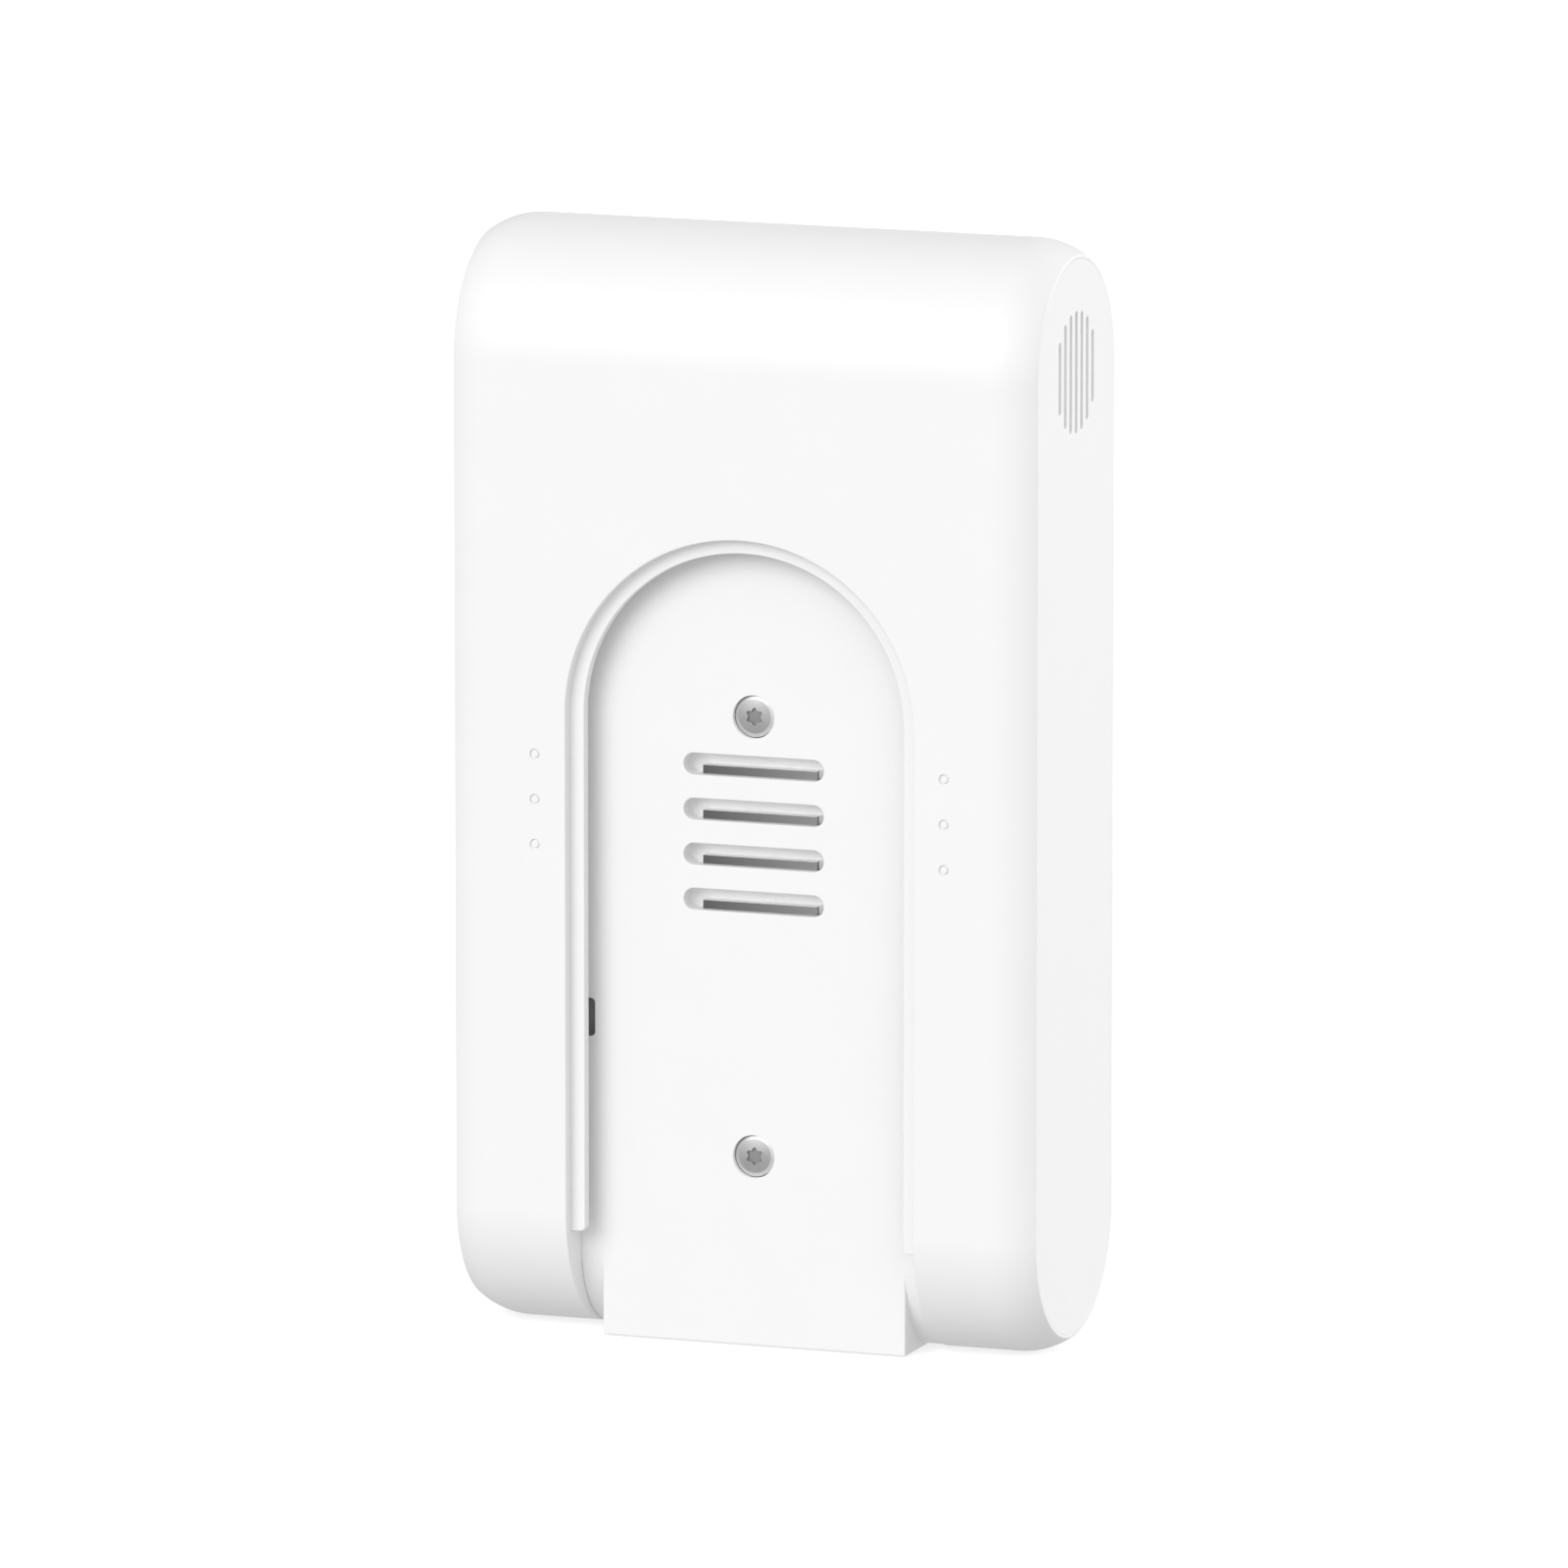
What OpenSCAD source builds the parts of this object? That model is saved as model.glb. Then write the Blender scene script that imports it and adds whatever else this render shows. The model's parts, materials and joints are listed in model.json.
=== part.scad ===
// Slide-on battery pack of a cordless stick vacuum cleaner.
// +Z is up and the dock side faces -Y. The origin is the centre of the casing's box. Millimetres.

/* [Casing] */
// Width between the two side faces
body_w = 76; // [76:0.5:84]
// Depth from the dock face to the front face, and the diameter of the round top and base
body_d = 32.6; // [32.6:0.1:34]
// Height from the base to the top
body_h = 138.4; // [138.4:0.2:144]
// Wall thickness of the shells
wall = 2; // [1.8:0.1:2]
// How far the edge roll drops before it meets the side face
roll_drop = 1.95; // [1.8:0.05:2.1]
// Width of the edge roll across the body
roll_run = 5.8; // [5.4:0.1:6]

/* [Dock recess] */
// Width of the arch-shaped recess
recess_w = 45.4; // [44:0.1:46]
// Height of the arch centre above the middle of the casing
arch_z = 9.7; // [9.5:0.05:9.9]
// Depth of the recess floor below the dock face
floor_depth = 5.35; // [5.2:0.05:5.4]
// Depth of the rail face below the dock face
rail_setback = 1.7; // [1.4:0.05:1.8]
// Thickness of the rail
rail_t = 1.5; // [1.2:0.05:1.6]
// How far the rail stands in from the recess wall
rail_w = 1.85; // [1.5:0.05:2]
// Height at which both rail legs end
rail_end_z = -55.4; // [-56:0.1:-54]
// Width of the tongue at the foot of the dock plate
tongue_w = 39.7; // [38:0.1:40]
// Thickness of the dock plate
plate_t = 2; // [1.8:0.1:2]

/* [Contacts] */
// Length of a contact slot
slot_l = 18.3; // [17.5:0.1:18.5]
// Height of a contact slot
slot_h = 2.7; // [2.6:0.05:2.8]
// Distance from one slot to the next
slot_pitch = 5.63; // [5.5:0.01:5.7]
// Height of the top slot's middle
slot_z = 3.45; // [3.4:0.01:3.5]

/* [Cells] */
// Diameter of an 18650 cell in its sleeve
cell_d = 18.2; // [18:0.1:18.2]
// Length of a cell
cell_l = 65; // [64.8:0.1:65]
// Distance from one cell to the next
cell_pitch = 18.33; // [18.3:0.01:18.35]

/* [Vent] */
// Diameter of the round vent grille in each side cap
vent_d = 15.1; // [14:0.1:15.4]
// Number of slots in a grille
vent_slots = 7; // [5:2:7]
// Distance from one vent slot to the next
vent_pitch = 2.03; // [2:0.01:2.05]
// Width of a vent slot
vent_slot_w = 0.9; // [0.7:0.05:1]

/* [Hidden] */
$fn = 96;

// Counts that the list of nodes fixes: the 18650 cells, one above the other, and the contact slots
cell_count = 7;
slot_count = 4;

// Colours
case_white = "#F4F4F4";
dock_white = "#F6F6F6";
block_white = "#F0F0EE";
steel = "#B4B4B8";
contact_metal = "#8A8A90";
cell_blue = "#3C6EA5";
holder_black = "#2C2C30";
board_dark = "#1E2A26";
chip_black = "#1A1A1C";
nickel = "#C4C2BC";
paper = "#B9C2A8";
foam_grey = "#54565A";
filter_grey = "#D8D8D6";

// Clearances: a seam that shows, a fit between inner parts, and the overshoot of a cut
seam = 0.05;
fit = 0.1;
over = 1;

// Casing: end_r is the radius of the round top and base, end_z the height of its axis
end_r = body_d / 2;
end_z = body_h / 2 - end_r;
half_w = body_w / 2;
roll_r = (roll_run * roll_run + roll_drop * roll_drop) / (2 * roll_drop);
roll_x = half_w - roll_run;
side_r = end_r - roll_drop;
inner_r = end_r - wall;

// Side cap: it sits on a ledge inside a thin rim of the shells
cap_rim = 0.4;
cap_t = 2;
cap_r = side_r - cap_rim;
cap_lip_r = 13;
cap_lip_t = 1.3;
cap_lip_l = 1.7;
filter_t = 0.8;
filter_d = vent_d + 2;

// Recess: its floor runs flat down the dock side, then round to the base beside the tongue
recess_half = recess_w / 2;
recess_wall_t = 1.6;
floor_y = -end_r + floor_depth;
floor_r = end_r - floor_depth;
floor_end_z = -(body_h / 2 - floor_r);
floor_top_z = 45;
flange_half = recess_half + 1.5;
flange_end_z = -60;
rail_y = -end_r + rail_setback;
rail_half = recess_half - rail_w;

// Tongue
tongue_half = tongue_w / 2;
tongue_lift = 0.2;
tongue_wall = 1.8;
tongue_root = 3.5;
rib_count = 3;
rib_t = 1.4;

// Latch pocket in the floor beside each rail
pocket_w = 1.8;
pocket_h = 4.8;
pocket_z = -29.1;
pocket_corner = 0.6;
pocket_depth = 2.6;
pocket_wall = 0.8;

// Cells stand in one column, and each dock screw passes between two of them
stack_z = 0.55;
cell_y = 4;
cell_r = cell_d / 2;
nub_t = 0.7;
first_cell_z = stack_z + (cell_count - 1) / 2 * cell_pitch;
function cell_z(i) = first_cell_z - (i - 1) * cell_pitch;
function gap_z(i) = (cell_z(i) + cell_z(i + 1)) / 2;

// Dock screws
screw_zs = [gap_z(3), gap_z(6)];
screw_head_d = 5.2;
screw_face_d = 4.2;
screw_bevel = 0.35;
screw_head_t = 1.5;
screw_sunk = 0.3;
screw_recess_d = 5.4;
screw_d = 2.4;
screw_hole_d = 2.6;
screw_tip_y = -2.8;
pad_d = 8.6;
pad_y = -7.55;
star_core_r = 0.84;
star_lobe_r = 0.26;
star_lobe_at = 0.9;
star_lobes = 6;
star_depth = 0.9;

// Small ring grooves beside the recess
mark_x = 26.7;
mark_z = 4.4;
mark_d = 1.35;
mark_core_d = 0.85;
mark_depth = 0.25;
mark_count = 3;

// Protection board and terminal block
board_back_y = -5.3;
board_t = 1;
board_front_y = board_back_y - board_t;
board_half_w = 26.5;
board_top_z = 5.3;
board_low_z = -41.5;
block_half_w = 11.5;
block_top_z = 5.35;
block_low_z = -15.6;
block_front_y = floor_y + plate_t + seam;
pocket_floor_y = floor_y + 2.7;
blade_t = 1.1;
blade_left_x = -7;
blade_right_x = 7.95;
blade_front_y = floor_y + 1.05;
blade_drop = 0.775;
function slot_at(i) = slot_z - (i - 1) * slot_pitch;

// Cell holders
holder_x0 = 22.5;
holder_back_y = -4.6;
holder_front_y = 12.4;
holder_end_r = 14.1;
holder_bore_r = 9.25;
flange_t = 0.8;
flange_x = cell_l / 2 + fit;
flange_hole_r = 6.5;
bar_half_h = 2.2;
bar_front_y = -7.5;
bar_back_y = -2.4;
bar_pin_d = 1.8;
bar_pin_l = 4;
bar_pin_y = -3.4;
post_gaps = [4, 5];
post_x = 24.7;
post_d = 4;
board_hole_d = 1.7;
board_screw_d = 1.5;
board_screw_head_d = 3;
board_screw_tip_y = -2;

// End sheets
strip_t = 0.25;
strip_x = flange_x + flange_t;
strip_h = 9;
weld_cup_d = 5;
sheet_t = 0.25;
sheet_x = strip_x + strip_t + 0.05;

// Charge lights between two cells at the front
light_z = gap_z(2);
light_xs = [-6, 0, 6];
light_d = 1.8;
light_sunk = 0.02;
light_bar_y = 12.4;
light_bar_half = 9;
led_board_y = 10.6;
led_board_t = 0.8;
led_size = 1.6;
led_t = 0.7;

// ---------- shared shapes ----------

// Extrudes an outline drawn as (y, z) across the body, centred on x = 0
module across(width) {
    translate([-width / 2, 0, 0])
        rotate([90, 0, 90])
            linear_extrude(height = width)
                children();
}

// Extrudes an outline drawn as (y, z) from x0 to x1
module from_x(x0, x1) {
    translate([(x0 + x1) / 2, 0, 0])
        across(x1 - x0)
            children();
}

// Extrudes an outline drawn as (x, z) from y0 to y1
module from_y(y0, y1) {
    translate([0, y1, 0])
        rotate([90, 0, 0])
            linear_extrude(height = y1 - y0)
                children();
}

// Box between two corners
module block(low, high) {
    translate(low)
        cube(high - low);
}

// Round bar along y, from y0 to y1, at (x, z)
module rod_y(d, y0, y1, x, z) {
    translate([x, y0, z])
        rotate([-90, 0, 0])
            cylinder(d = d, h = y1 - y0);
}

// Round bar along x, from x0 to x1, at (y, z)
module rod_x(d, x0, x1, y, z) {
    translate([x0, y, z])
        rotate([0, 90, 0])
            cylinder(d = d, h = x1 - x0);
}

// Copies the right-hand child onto the left
module both_sides() {
    children();
    mirror([1, 0, 0])
        children();
}

// Upright stadium between two centre heights
module stadium(r, low, high) {
    translate([0, low])
        circle(r = r);
    translate([0, high])
        circle(r = r);
    translate([-r, low])
        square([2 * r, high - low]);
}

// Level stadium, total length l and height h
module slot_outline(l, h) {
    for (side = [-1, 1])
        translate([side * (l - h) / 2, 0])
            circle(d = h);
    square([l - h, h], center = true);
}

// Arch with a flat foot at height low
module arch(half, low) {
    translate([0, arch_z])
        circle(r = half);
    translate([-half, low])
        square([2 * half, arch_z - low]);
}

// Quarter of the casing's section: X is out from the middle plane, Y is across the body
module quarter_section(inset) {
    square([end_r - inset, roll_x]);
    square([end_r - roll_r, half_w - inset]);
    intersection() {
        translate([end_r - roll_r, roll_x])
            circle(r = roll_r - inset);
        square([end_r, half_w - inset]);
    }
}

// Half of the section, on one side of the middle plane
module half_section(inset) {
    quarter_section(inset);
    mirror([0, 1])
        quarter_section(inset);
}

// The casing's outer form, or the form set in from it: a straight middle and two round ends
module casing_form(inset) {
    translate([0, 0, -end_z])
        linear_extrude(height = 2 * end_z)
            rotate(90) {
                half_section(inset);
                mirror([1, 0])
                    half_section(inset);
            }
    for (end = [0, 180])
        rotate([0, end, 0])
            translate([0, 0, end_z])
                rotate([0, 90, 0])
                    rotate([0, 0, 90])
                        rotate_extrude(angle = 180)
                            half_section(inset);
}

// The form whose rear surface is the recess floor
module floor_form(inset, width) {
    across(width)
        stadium(floor_r - inset, floor_end_z, floor_top_z);
}

// Keeps what lies behind the parting plane, towards the dock side
module rear_only() {
    intersection() {
        children();
        block([-body_w, -body_d, -body_h], [body_w, -seam / 2, body_h]);
    }
}

// Keeps what lies in front of the parting plane
module front_only() {
    intersection() {
        children();
        block([-body_w, seam / 2, -body_h], [body_w, body_d, body_h]);
    }
}

// Shell wall with the openings for both side caps
module skin() {
    difference() {
        casing_form(0);
        casing_form(wall);
        across(body_w + over)
            stadium(cap_r + seam, -end_z, end_z);
    }
}

// ---------- casing ----------

module rail() {
    intersection() {
        from_y(rail_y, rail_y + rail_t)
            difference() {
                arch(recess_half + fit, rail_end_z);
                arch(rail_half, rail_end_z - over);
            }
        casing_form(0);
    }
}

module recess_wall() {
    difference() {
        intersection() {
            from_y(-body_d, -seam / 2)
                difference() {
                    arch(recess_half + recess_wall_t, -body_h);
                    arch(recess_half, -body_h - over);
                }
            casing_form(0);
        }
        intersection() {
            floor_form(-seam, body_w);
            block([-body_w, -body_d, flange_end_z], [body_w, body_d, body_h]);
        }
        floor_form(plate_t + fit, body_w);
    }
}

module ring_marks() {
    for (i = [0:mark_count - 1])
        both_sides()
            difference() {
                rod_y(mark_d, -end_r - over, -end_r + mark_depth, mark_x, mark_z - i * slot_pitch);
                rod_y(mark_core_d, -end_r, over - end_r, mark_x, mark_z - i * slot_pitch);
            }
}

module rear_shell() {
    color(case_white)
        difference() {
            union() {
                difference() {
                    rear_only()
                        skin();
                    from_y(-body_d, 0)
                        arch(recess_half, -body_h);
                }
                recess_wall();
                rail();
            }
            ring_marks();
        }
}

// Tabs that reach behind the rear shell's edge and line the two shells up
module shell_tabs() {
    tab_half = 2.5;
    tab_x = 29;
    tab_t = 1.2;
    tab_root_t = 0.4;
    tab_high = end_z + inner_r - fit;
    tab_low = tab_high - tab_t;
    tab_root = end_z + inner_r + tab_root_t;
    for (end = [0, 180])
        rotate([0, end, 0])
            both_sides() {
                block([tab_x - tab_half, -tab_half, tab_low], [tab_x + tab_half, tab_half, tab_high]);
                block([tab_x - tab_half, fit, tab_low], [tab_x + tab_half, tab_half, tab_root]);
            }
}

module front_shell() {
    color(case_white)
        difference() {
            union() {
                front_only()
                    skin();
                shell_tabs();
            }
            for (x = light_xs)
                rod_y(light_d + fit, 0, body_d, x, light_z);
        }
}

module vent_cuts() {
    for (i = [0:vent_slots - 1]) {
        y = (i - (vent_slots - 1) / 2) * vent_pitch;
        half_l = sqrt(vent_d * vent_d / 4 - y * y) - vent_slot_w / 2;
        translate([y, 0])
            stadium(vent_slot_w / 2, end_z - half_l, end_z + half_l);
    }
}

// Right-hand cap
module side_cap() {
    difference() {
        union() {
            from_x(half_w - cap_t, half_w)
                stadium(cap_r, -end_z, end_z);
            from_x(half_w - cap_t - cap_lip_l, half_w - cap_t)
                difference() {
                    stadium(cap_lip_r, -end_z, end_z);
                    stadium(cap_lip_r - cap_lip_t, -end_z, end_z);
                }
        }
        from_x(half_w - cap_t - over, half_w + over)
            vent_cuts();
        rod_x(filter_d + fit, half_w - cap_t - over, half_w - cap_t + filter_t, 0, end_z);
    }
}

module side_cap_right() {
    color(case_white)
        side_cap();
}

module side_cap_left() {
    color(case_white)
        mirror([1, 0, 0])
            side_cap();
}

// Sits in a round pocket behind the grille
module vent_filter() {
    rod_x(filter_d, half_w - cap_t, half_w - cap_t + filter_t, 0, end_z);
}

module vent_filter_right() {
    color(filter_grey)
        vent_filter();
}

module vent_filter_left() {
    color(filter_grey)
        mirror([1, 0, 0])
            vent_filter();
}

// ---------- dock plate ----------

module plate_sheet() {
    rear_only()
        intersection() {
            difference() {
                floor_form(0, 2 * flange_half);
                floor_form(plate_t, body_w);
            }
            union() {
                from_y(-body_d, body_d)
                    arch(flange_half, flange_end_z + fit);
                from_y(-body_d, body_d)
                    arch(recess_half - seam, -body_h);
            }
        }
}

module tongue() {
    difference() {
        block([-tongue_half, floor_y, -body_h / 2 + tongue_lift], [tongue_half, -seam, floor_end_z]);
        floor_form(tongue_root, body_w);
    }
}

// Pockets behind the tongue, which leave its ribs standing
module tongue_pockets() {
    bay = (2 * (tongue_half - tongue_wall) - rib_count * rib_t) / (rib_count + 1);
    for (i = [0:rib_count]) {
        x = -tongue_half + tongue_wall + i * (bay + rib_t);
        block([x, floor_y + tongue_wall, -body_h / 2 + tongue_lift + tongue_wall],
              [x + bay, over, floor_end_z]);
    }
}

module latch_pocket() {
    from_y(floor_y - over, floor_y + pocket_depth)
        translate([recess_half - seam - pocket_w, pocket_z - pocket_h / 2])
            translate([pocket_corner, pocket_corner])
                round_rect(pocket_w + over - 2 * pocket_corner, pocket_h - 2 * pocket_corner, pocket_corner);
}

// Blind cup behind the plate that closes a latch pocket
module pocket_cup() {
    half_h = pocket_h / 2 + pocket_wall;
    block([recess_half - seam - pocket_w - pocket_wall, floor_y + over, pocket_z - half_h],
          [flange_half, floor_y + pocket_depth + pocket_wall, pocket_z + half_h]);
}

// Rectangle with round corners, w by h between the corner centres
module round_rect(w, h, r) {
    for (x = [0, w])
        for (z = [0, h])
            translate([x, z])
                circle(r = r);
    translate([-r, 0])
        square([w + 2 * r, h]);
    translate([0, -r])
        square([w, h + 2 * r]);
}

module dock_plate() {
    color(dock_white)
        difference() {
            union() {
                plate_sheet();
                tongue();
                both_sides()
                    pocket_cup();
                for (z = screw_zs)
                    rod_y(pad_d, floor_y + over, pad_y, 0, z);
            }
            tongue_pockets();
            both_sides()
                latch_pocket();
            for (z = screw_zs) {
                rod_y(screw_recess_d, -body_d, floor_y + screw_sunk + screw_head_t, 0, z);
                rod_y(screw_hole_d, -body_d, 0, 0, z);
            }
            for (i = [1:slot_count])
                from_y(floor_y - over, floor_y + plate_t + over)
                    translate([0, slot_at(i)])
                        slot_outline(slot_l, slot_h);
        }
}

module star_socket() {
    circle(r = star_core_r);
    for (i = [0:star_lobes - 1])
        rotate(i * 360 / star_lobes)
            translate([0, star_lobe_at])
                circle(r = star_lobe_r);
}

module dock_screws() {
    head_y = floor_y + screw_sunk;
    color(steel)
        for (z = screw_zs)
            difference() {
                union() {
                    translate([0, head_y, z])
                        rotate([-90, 0, 0])
                            cylinder(d1 = screw_face_d, d2 = screw_head_d, h = screw_bevel);
                    rod_y(screw_head_d, head_y + screw_bevel, head_y + screw_head_t, 0, z);
                    rod_y(screw_d, head_y + screw_head_t, screw_tip_y, 0, z);
                }
                from_y(head_y - over, head_y + star_depth)
                    translate([0, z])
                        star_socket();
            }
}

// ---------- contacts and board ----------

// Clearance slit for one blade, through the terminal block and the board
module blade_cut(i) {
    block([blade_left_x - seam, -body_d, slot_at(i) - blade_drop - blade_t / 2 - seam],
          [blade_right_x + seam, 0, slot_at(i) - blade_drop + blade_t / 2 + seam]);
}

module terminal_block() {
    color(block_white)
        difference() {
            block([-block_half_w, block_front_y, block_low_z], [block_half_w, board_front_y, block_top_z]);
            for (i = [1:slot_count]) {
                from_y(block_front_y - over, pocket_floor_y)
                    translate([0, slot_at(i)])
                        slot_outline(slot_l, slot_h);
                blade_cut(i);
            }
        }
}

module contact_blade(i) {
    color(contact_metal)
        block([blade_left_x, blade_front_y, slot_at(i) - blade_drop - blade_t / 2],
              [blade_right_x, board_back_y, slot_at(i) - blade_drop + blade_t / 2]);
}

// Places the children at the four board screws
module at_posts() {
    for (i = post_gaps)
        both_sides()
            translate([post_x, 0, gap_z(i)])
                children();
}

module protection_board() {
    color(board_dark)
        difference() {
            block([-board_half_w, board_front_y, board_low_z], [board_half_w, board_back_y, board_top_z]);
            at_posts()
                rod_y(board_hole_d, -body_d, 0, 0, 0);
            for (i = [1:slot_count])
                blade_cut(i);
        }
}

// Box on the front of the board: size is its width, thickness and height, centred on (x, z)
module on_board(size, x, z) {
    translate([x, board_front_y - size.y / 2, z])
        cube(size, center = true);
}

module power_transistors() {
    transistor_pitch = 8;
    transistor_z = -35;
    color(chip_black)
        for (i = [-1.5:1.5])
            on_board([5.2, 1.1, 6.2], i * transistor_pitch, transistor_z);
}

module controller_chip() {
    chip_x = -8;
    chip_z = -23;
    color(chip_black)
        on_board([7, 1, 7], chip_x, chip_z);
}

module board_capacitors() {
    capacitor_count = 6;
    capacitor_pitch = 2.6;
    first_x = 2;
    capacitor_z = -20.5;
    color("#B08A5A")
        for (i = [0:capacitor_count - 1])
            on_board([1.2, 0.9, 2], first_x + i * capacitor_pitch, capacitor_z);
}

module shunt_resistor() {
    shunt_x = 6;
    shunt_z = -26;
    color(steel)
        on_board([6.4, 0.8, 3.2], shunt_x, shunt_z);
}

module sense_sockets() {
    socket_x = 18.5;
    socket_z = -2;
    color("#E8E4DA")
        both_sides()
            on_board([5, 2.2, 12], socket_x, socket_z);
}

module board_screws() {
    head_t = 1;
    color(steel)
        at_posts() {
            rod_y(board_screw_head_d, board_front_y - head_t, board_front_y, 0, 0);
            rod_y(board_screw_d, board_front_y - head_t / 2, board_screw_tip_y, 0, 0);
        }
}

// Lies across the gap between two cells, behind the board
module thermistor() {
    bead_d = 2.4;
    bead_half_l = 3;
    bead_y = -3.9;
    color("#2E4A34")
        rod_x(bead_d, -bead_half_l, bead_half_l, bead_y, gap_z(5));
}

// ---------- cells ----------

// Right-hand holder: a flange across the cell ends with fingers that reach between the cells
module cell_holder() {
    difference() {
        union() {
            intersection() {
                from_x(holder_x0, flange_x + flange_t)
                    stadium(holder_end_r, -end_z, end_z);
                block([0, holder_back_y, -body_h], [body_w, holder_front_y, body_h]);
            }
            for (i = post_gaps)
                rod_y(post_d, board_back_y, holder_back_y + over, post_x, gap_z(i));
        }
        for (i = [1:cell_count]) {
            rod_x(2 * holder_bore_r, holder_x0 - over, flange_x, cell_y, cell_z(i));
            rod_x(2 * flange_hole_r, holder_x0, body_w, cell_y, cell_z(i));
        }
        for (z = screw_zs)
            rod_x(bar_pin_d + fit, holder_x0 - over, holder_x0 + bar_pin_l + fit, bar_pin_y, z);
        for (i = post_gaps)
            rod_y(board_screw_d + fit, -body_d, board_screw_tip_y + fit, post_x, gap_z(i));
    }
}

module cell_holder_right() {
    color(holder_black)
        cell_holder();
}

module cell_holder_left() {
    color(holder_black)
        mirror([1, 0, 0])
            cell_holder();
}

module cross_bar(z) {
    half_l = holder_x0 - fit;
    color(holder_black)
        difference() {
            union() {
                block([-half_l, bar_front_y, z - bar_half_h], [half_l, bar_back_y, z + bar_half_h]);
                rod_x(bar_pin_d, -holder_x0 - bar_pin_l, holder_x0 + bar_pin_l, bar_pin_y, z);
            }
            rod_y(screw_d + fit, -body_d, screw_tip_y + fit, 0, z);
        }
}

// Cells point left and right in turn; the top one has its positive end on the right
function cell_side(i) = (i % 2 == 1) ? 1 : -1;

module cell(i) {
    groove_z = cell_l / 2 - 3.2;
    groove_w = 0.8;
    groove_depth = 0.5;
    nub_r = 3;
    color(cell_blue)
        translate([0, cell_y, cell_z(i)])
            rotate([0, 90 * cell_side(i), 0])
                difference() {
                    union() {
                        translate([0, 0, -cell_l / 2])
                            cylinder(r = cell_r, h = cell_l - nub_t);
                        translate([0, 0, cell_l / 2 - nub_t])
                            cylinder(r = nub_r, h = nub_t);
                    }
                    translate([0, 0, groove_z])
                        difference() {
                            cylinder(r = cell_r + over, h = groove_w);
                            cylinder(r = cell_r - groove_depth, h = groove_w);
                        }
                }
}

module cell_insulators() {
    ring_t = 0.3;
    ring_r = cell_r - 0.4;
    ring_hole_r = 4.5;
    color("#E6E6E0")
        for (i = [1:cell_count])
            translate([0, cell_y, cell_z(i)])
                rotate([0, 90 * cell_side(i), 0])
                    translate([0, 0, cell_l / 2 - nub_t])
                        difference() {
                            cylinder(r = ring_r, h = ring_t);
                            translate([0, 0, -over])
                                cylinder(r = ring_hole_r, h = ring_t + 2 * over);
                        }
}

// One strip across the ends of cells a to b, on the right, with a welded cup over each cell
module strip(a, b) {
    block([strip_x, cell_y - strip_h / 2, cell_z(b) - strip_h / 2],
          [strip_x + strip_t, cell_y + strip_h / 2, cell_z(a) + strip_h / 2]);
    for (i = [a:b])
        rod_x(weld_cup_d, cell_l / 2, strip_x + strip_t, cell_y, cell_z(i));
}

module nickel_strips_right() {
    color(nickel) {
        strip(1, 1);
        for (a = [2, 4, 6])
            strip(a, a + 1);
    }
}

module nickel_strips_left() {
    color(nickel)
        mirror([1, 0, 0]) {
            for (a = [1, 3, 5])
                strip(a, a + 1);
            strip(cell_count, cell_count);
        }
}

module insulation_sheet() {
    from_x(sheet_x, sheet_x + sheet_t)
        intersection() {
            stadium(cap_lip_r, -end_z, end_z);
            translate([holder_back_y, -body_h / 2])
                square([holder_front_y - holder_back_y, body_h]);
        }
}

module insulation_sheet_right() {
    color(paper)
        insulation_sheet();
}

module insulation_sheet_left() {
    color(paper)
        mirror([1, 0, 0])
            insulation_sheet();
}

// Bent lead from an end strip to the board: across, down or up, and across again
module power_lead(z_strip, z_board) {
    lead_d = 2;
    lead_x = 29.5;
    lead_y = board_front_y - lead_d / 2 - seam;
    lead_end_x = board_half_w - 3;
    turn = 1.6;
    way = (z_board > z_strip) ? 1 : -1;
    rod_x(lead_d, lead_x + turn, strip_x, lead_y, z_strip);
    translate([lead_x + turn, lead_y, z_strip + way * turn])
        rotate([90, 0, 0])
            rotate([0, 0, way > 0 ? 180 : 90])
                rotate_extrude(angle = 90)
                    translate([turn, 0])
                        circle(d = lead_d);
    translate([lead_x, lead_y, min(z_strip + way * turn, z_board - way * turn)])
        cylinder(d = lead_d, h = abs(z_board - z_strip) - 2 * turn);
    translate([lead_x - turn, lead_y, z_board - way * turn])
        rotate([90, 0, 0])
            rotate([0, 0, way > 0 ? 0 : 270])
                rotate_extrude(angle = 90)
                    translate([turn, 0])
                        circle(d = lead_d);
    rod_x(lead_d, lead_end_x, lead_x - turn, lead_y, z_board);
}

module positive_lead() {
    lead_z = 0;
    color("#B02A26")
        power_lead(cell_z(1), lead_z);
}

module negative_lead() {
    lead_z = -38;
    color("#202022")
        mirror([1, 0, 0])
            power_lead(cell_z(cell_count), lead_z);
}

// Flat flex along the right-hand holder, with a finger to each strip
module sense_flex(fingers) {
    flex_t = 0.15;
    flex_y = -5.3;
    flex_x = 31.2;
    flex_w = 1.2;
    finger_half = 1;
    tail_z = -2;
    tail_half = 2;
    top = gap_z(fingers[0]) + finger_half;
    low = gap_z(fingers[len(fingers) - 1]) - finger_half;
    block([flex_x, flex_y, low], [flex_x + flex_w, flex_y + flex_t, top]);
    block([board_half_w + seam, flex_y, tail_z - tail_half], [flex_x, flex_y + flex_t, tail_z + tail_half]);
    for (i = fingers) {
        z0 = gap_z(i) - finger_half;
        z1 = gap_z(i) + finger_half;
        block([flex_x, flex_y, z0], [strip_x + strip_t, flex_y + flex_t, z1]);
        block([strip_x + seam, flex_y, z0], [strip_x + strip_t, cell_y - strip_h / 2, z1]);
    }
}

module sense_flex_right() {
    color("#C88A3C")
        sense_flex([2, 4, 6]);
}

module sense_flex_left() {
    color("#C88A3C")
        mirror([1, 0, 0])
            sense_flex([1, 3, 5]);
}

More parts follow.
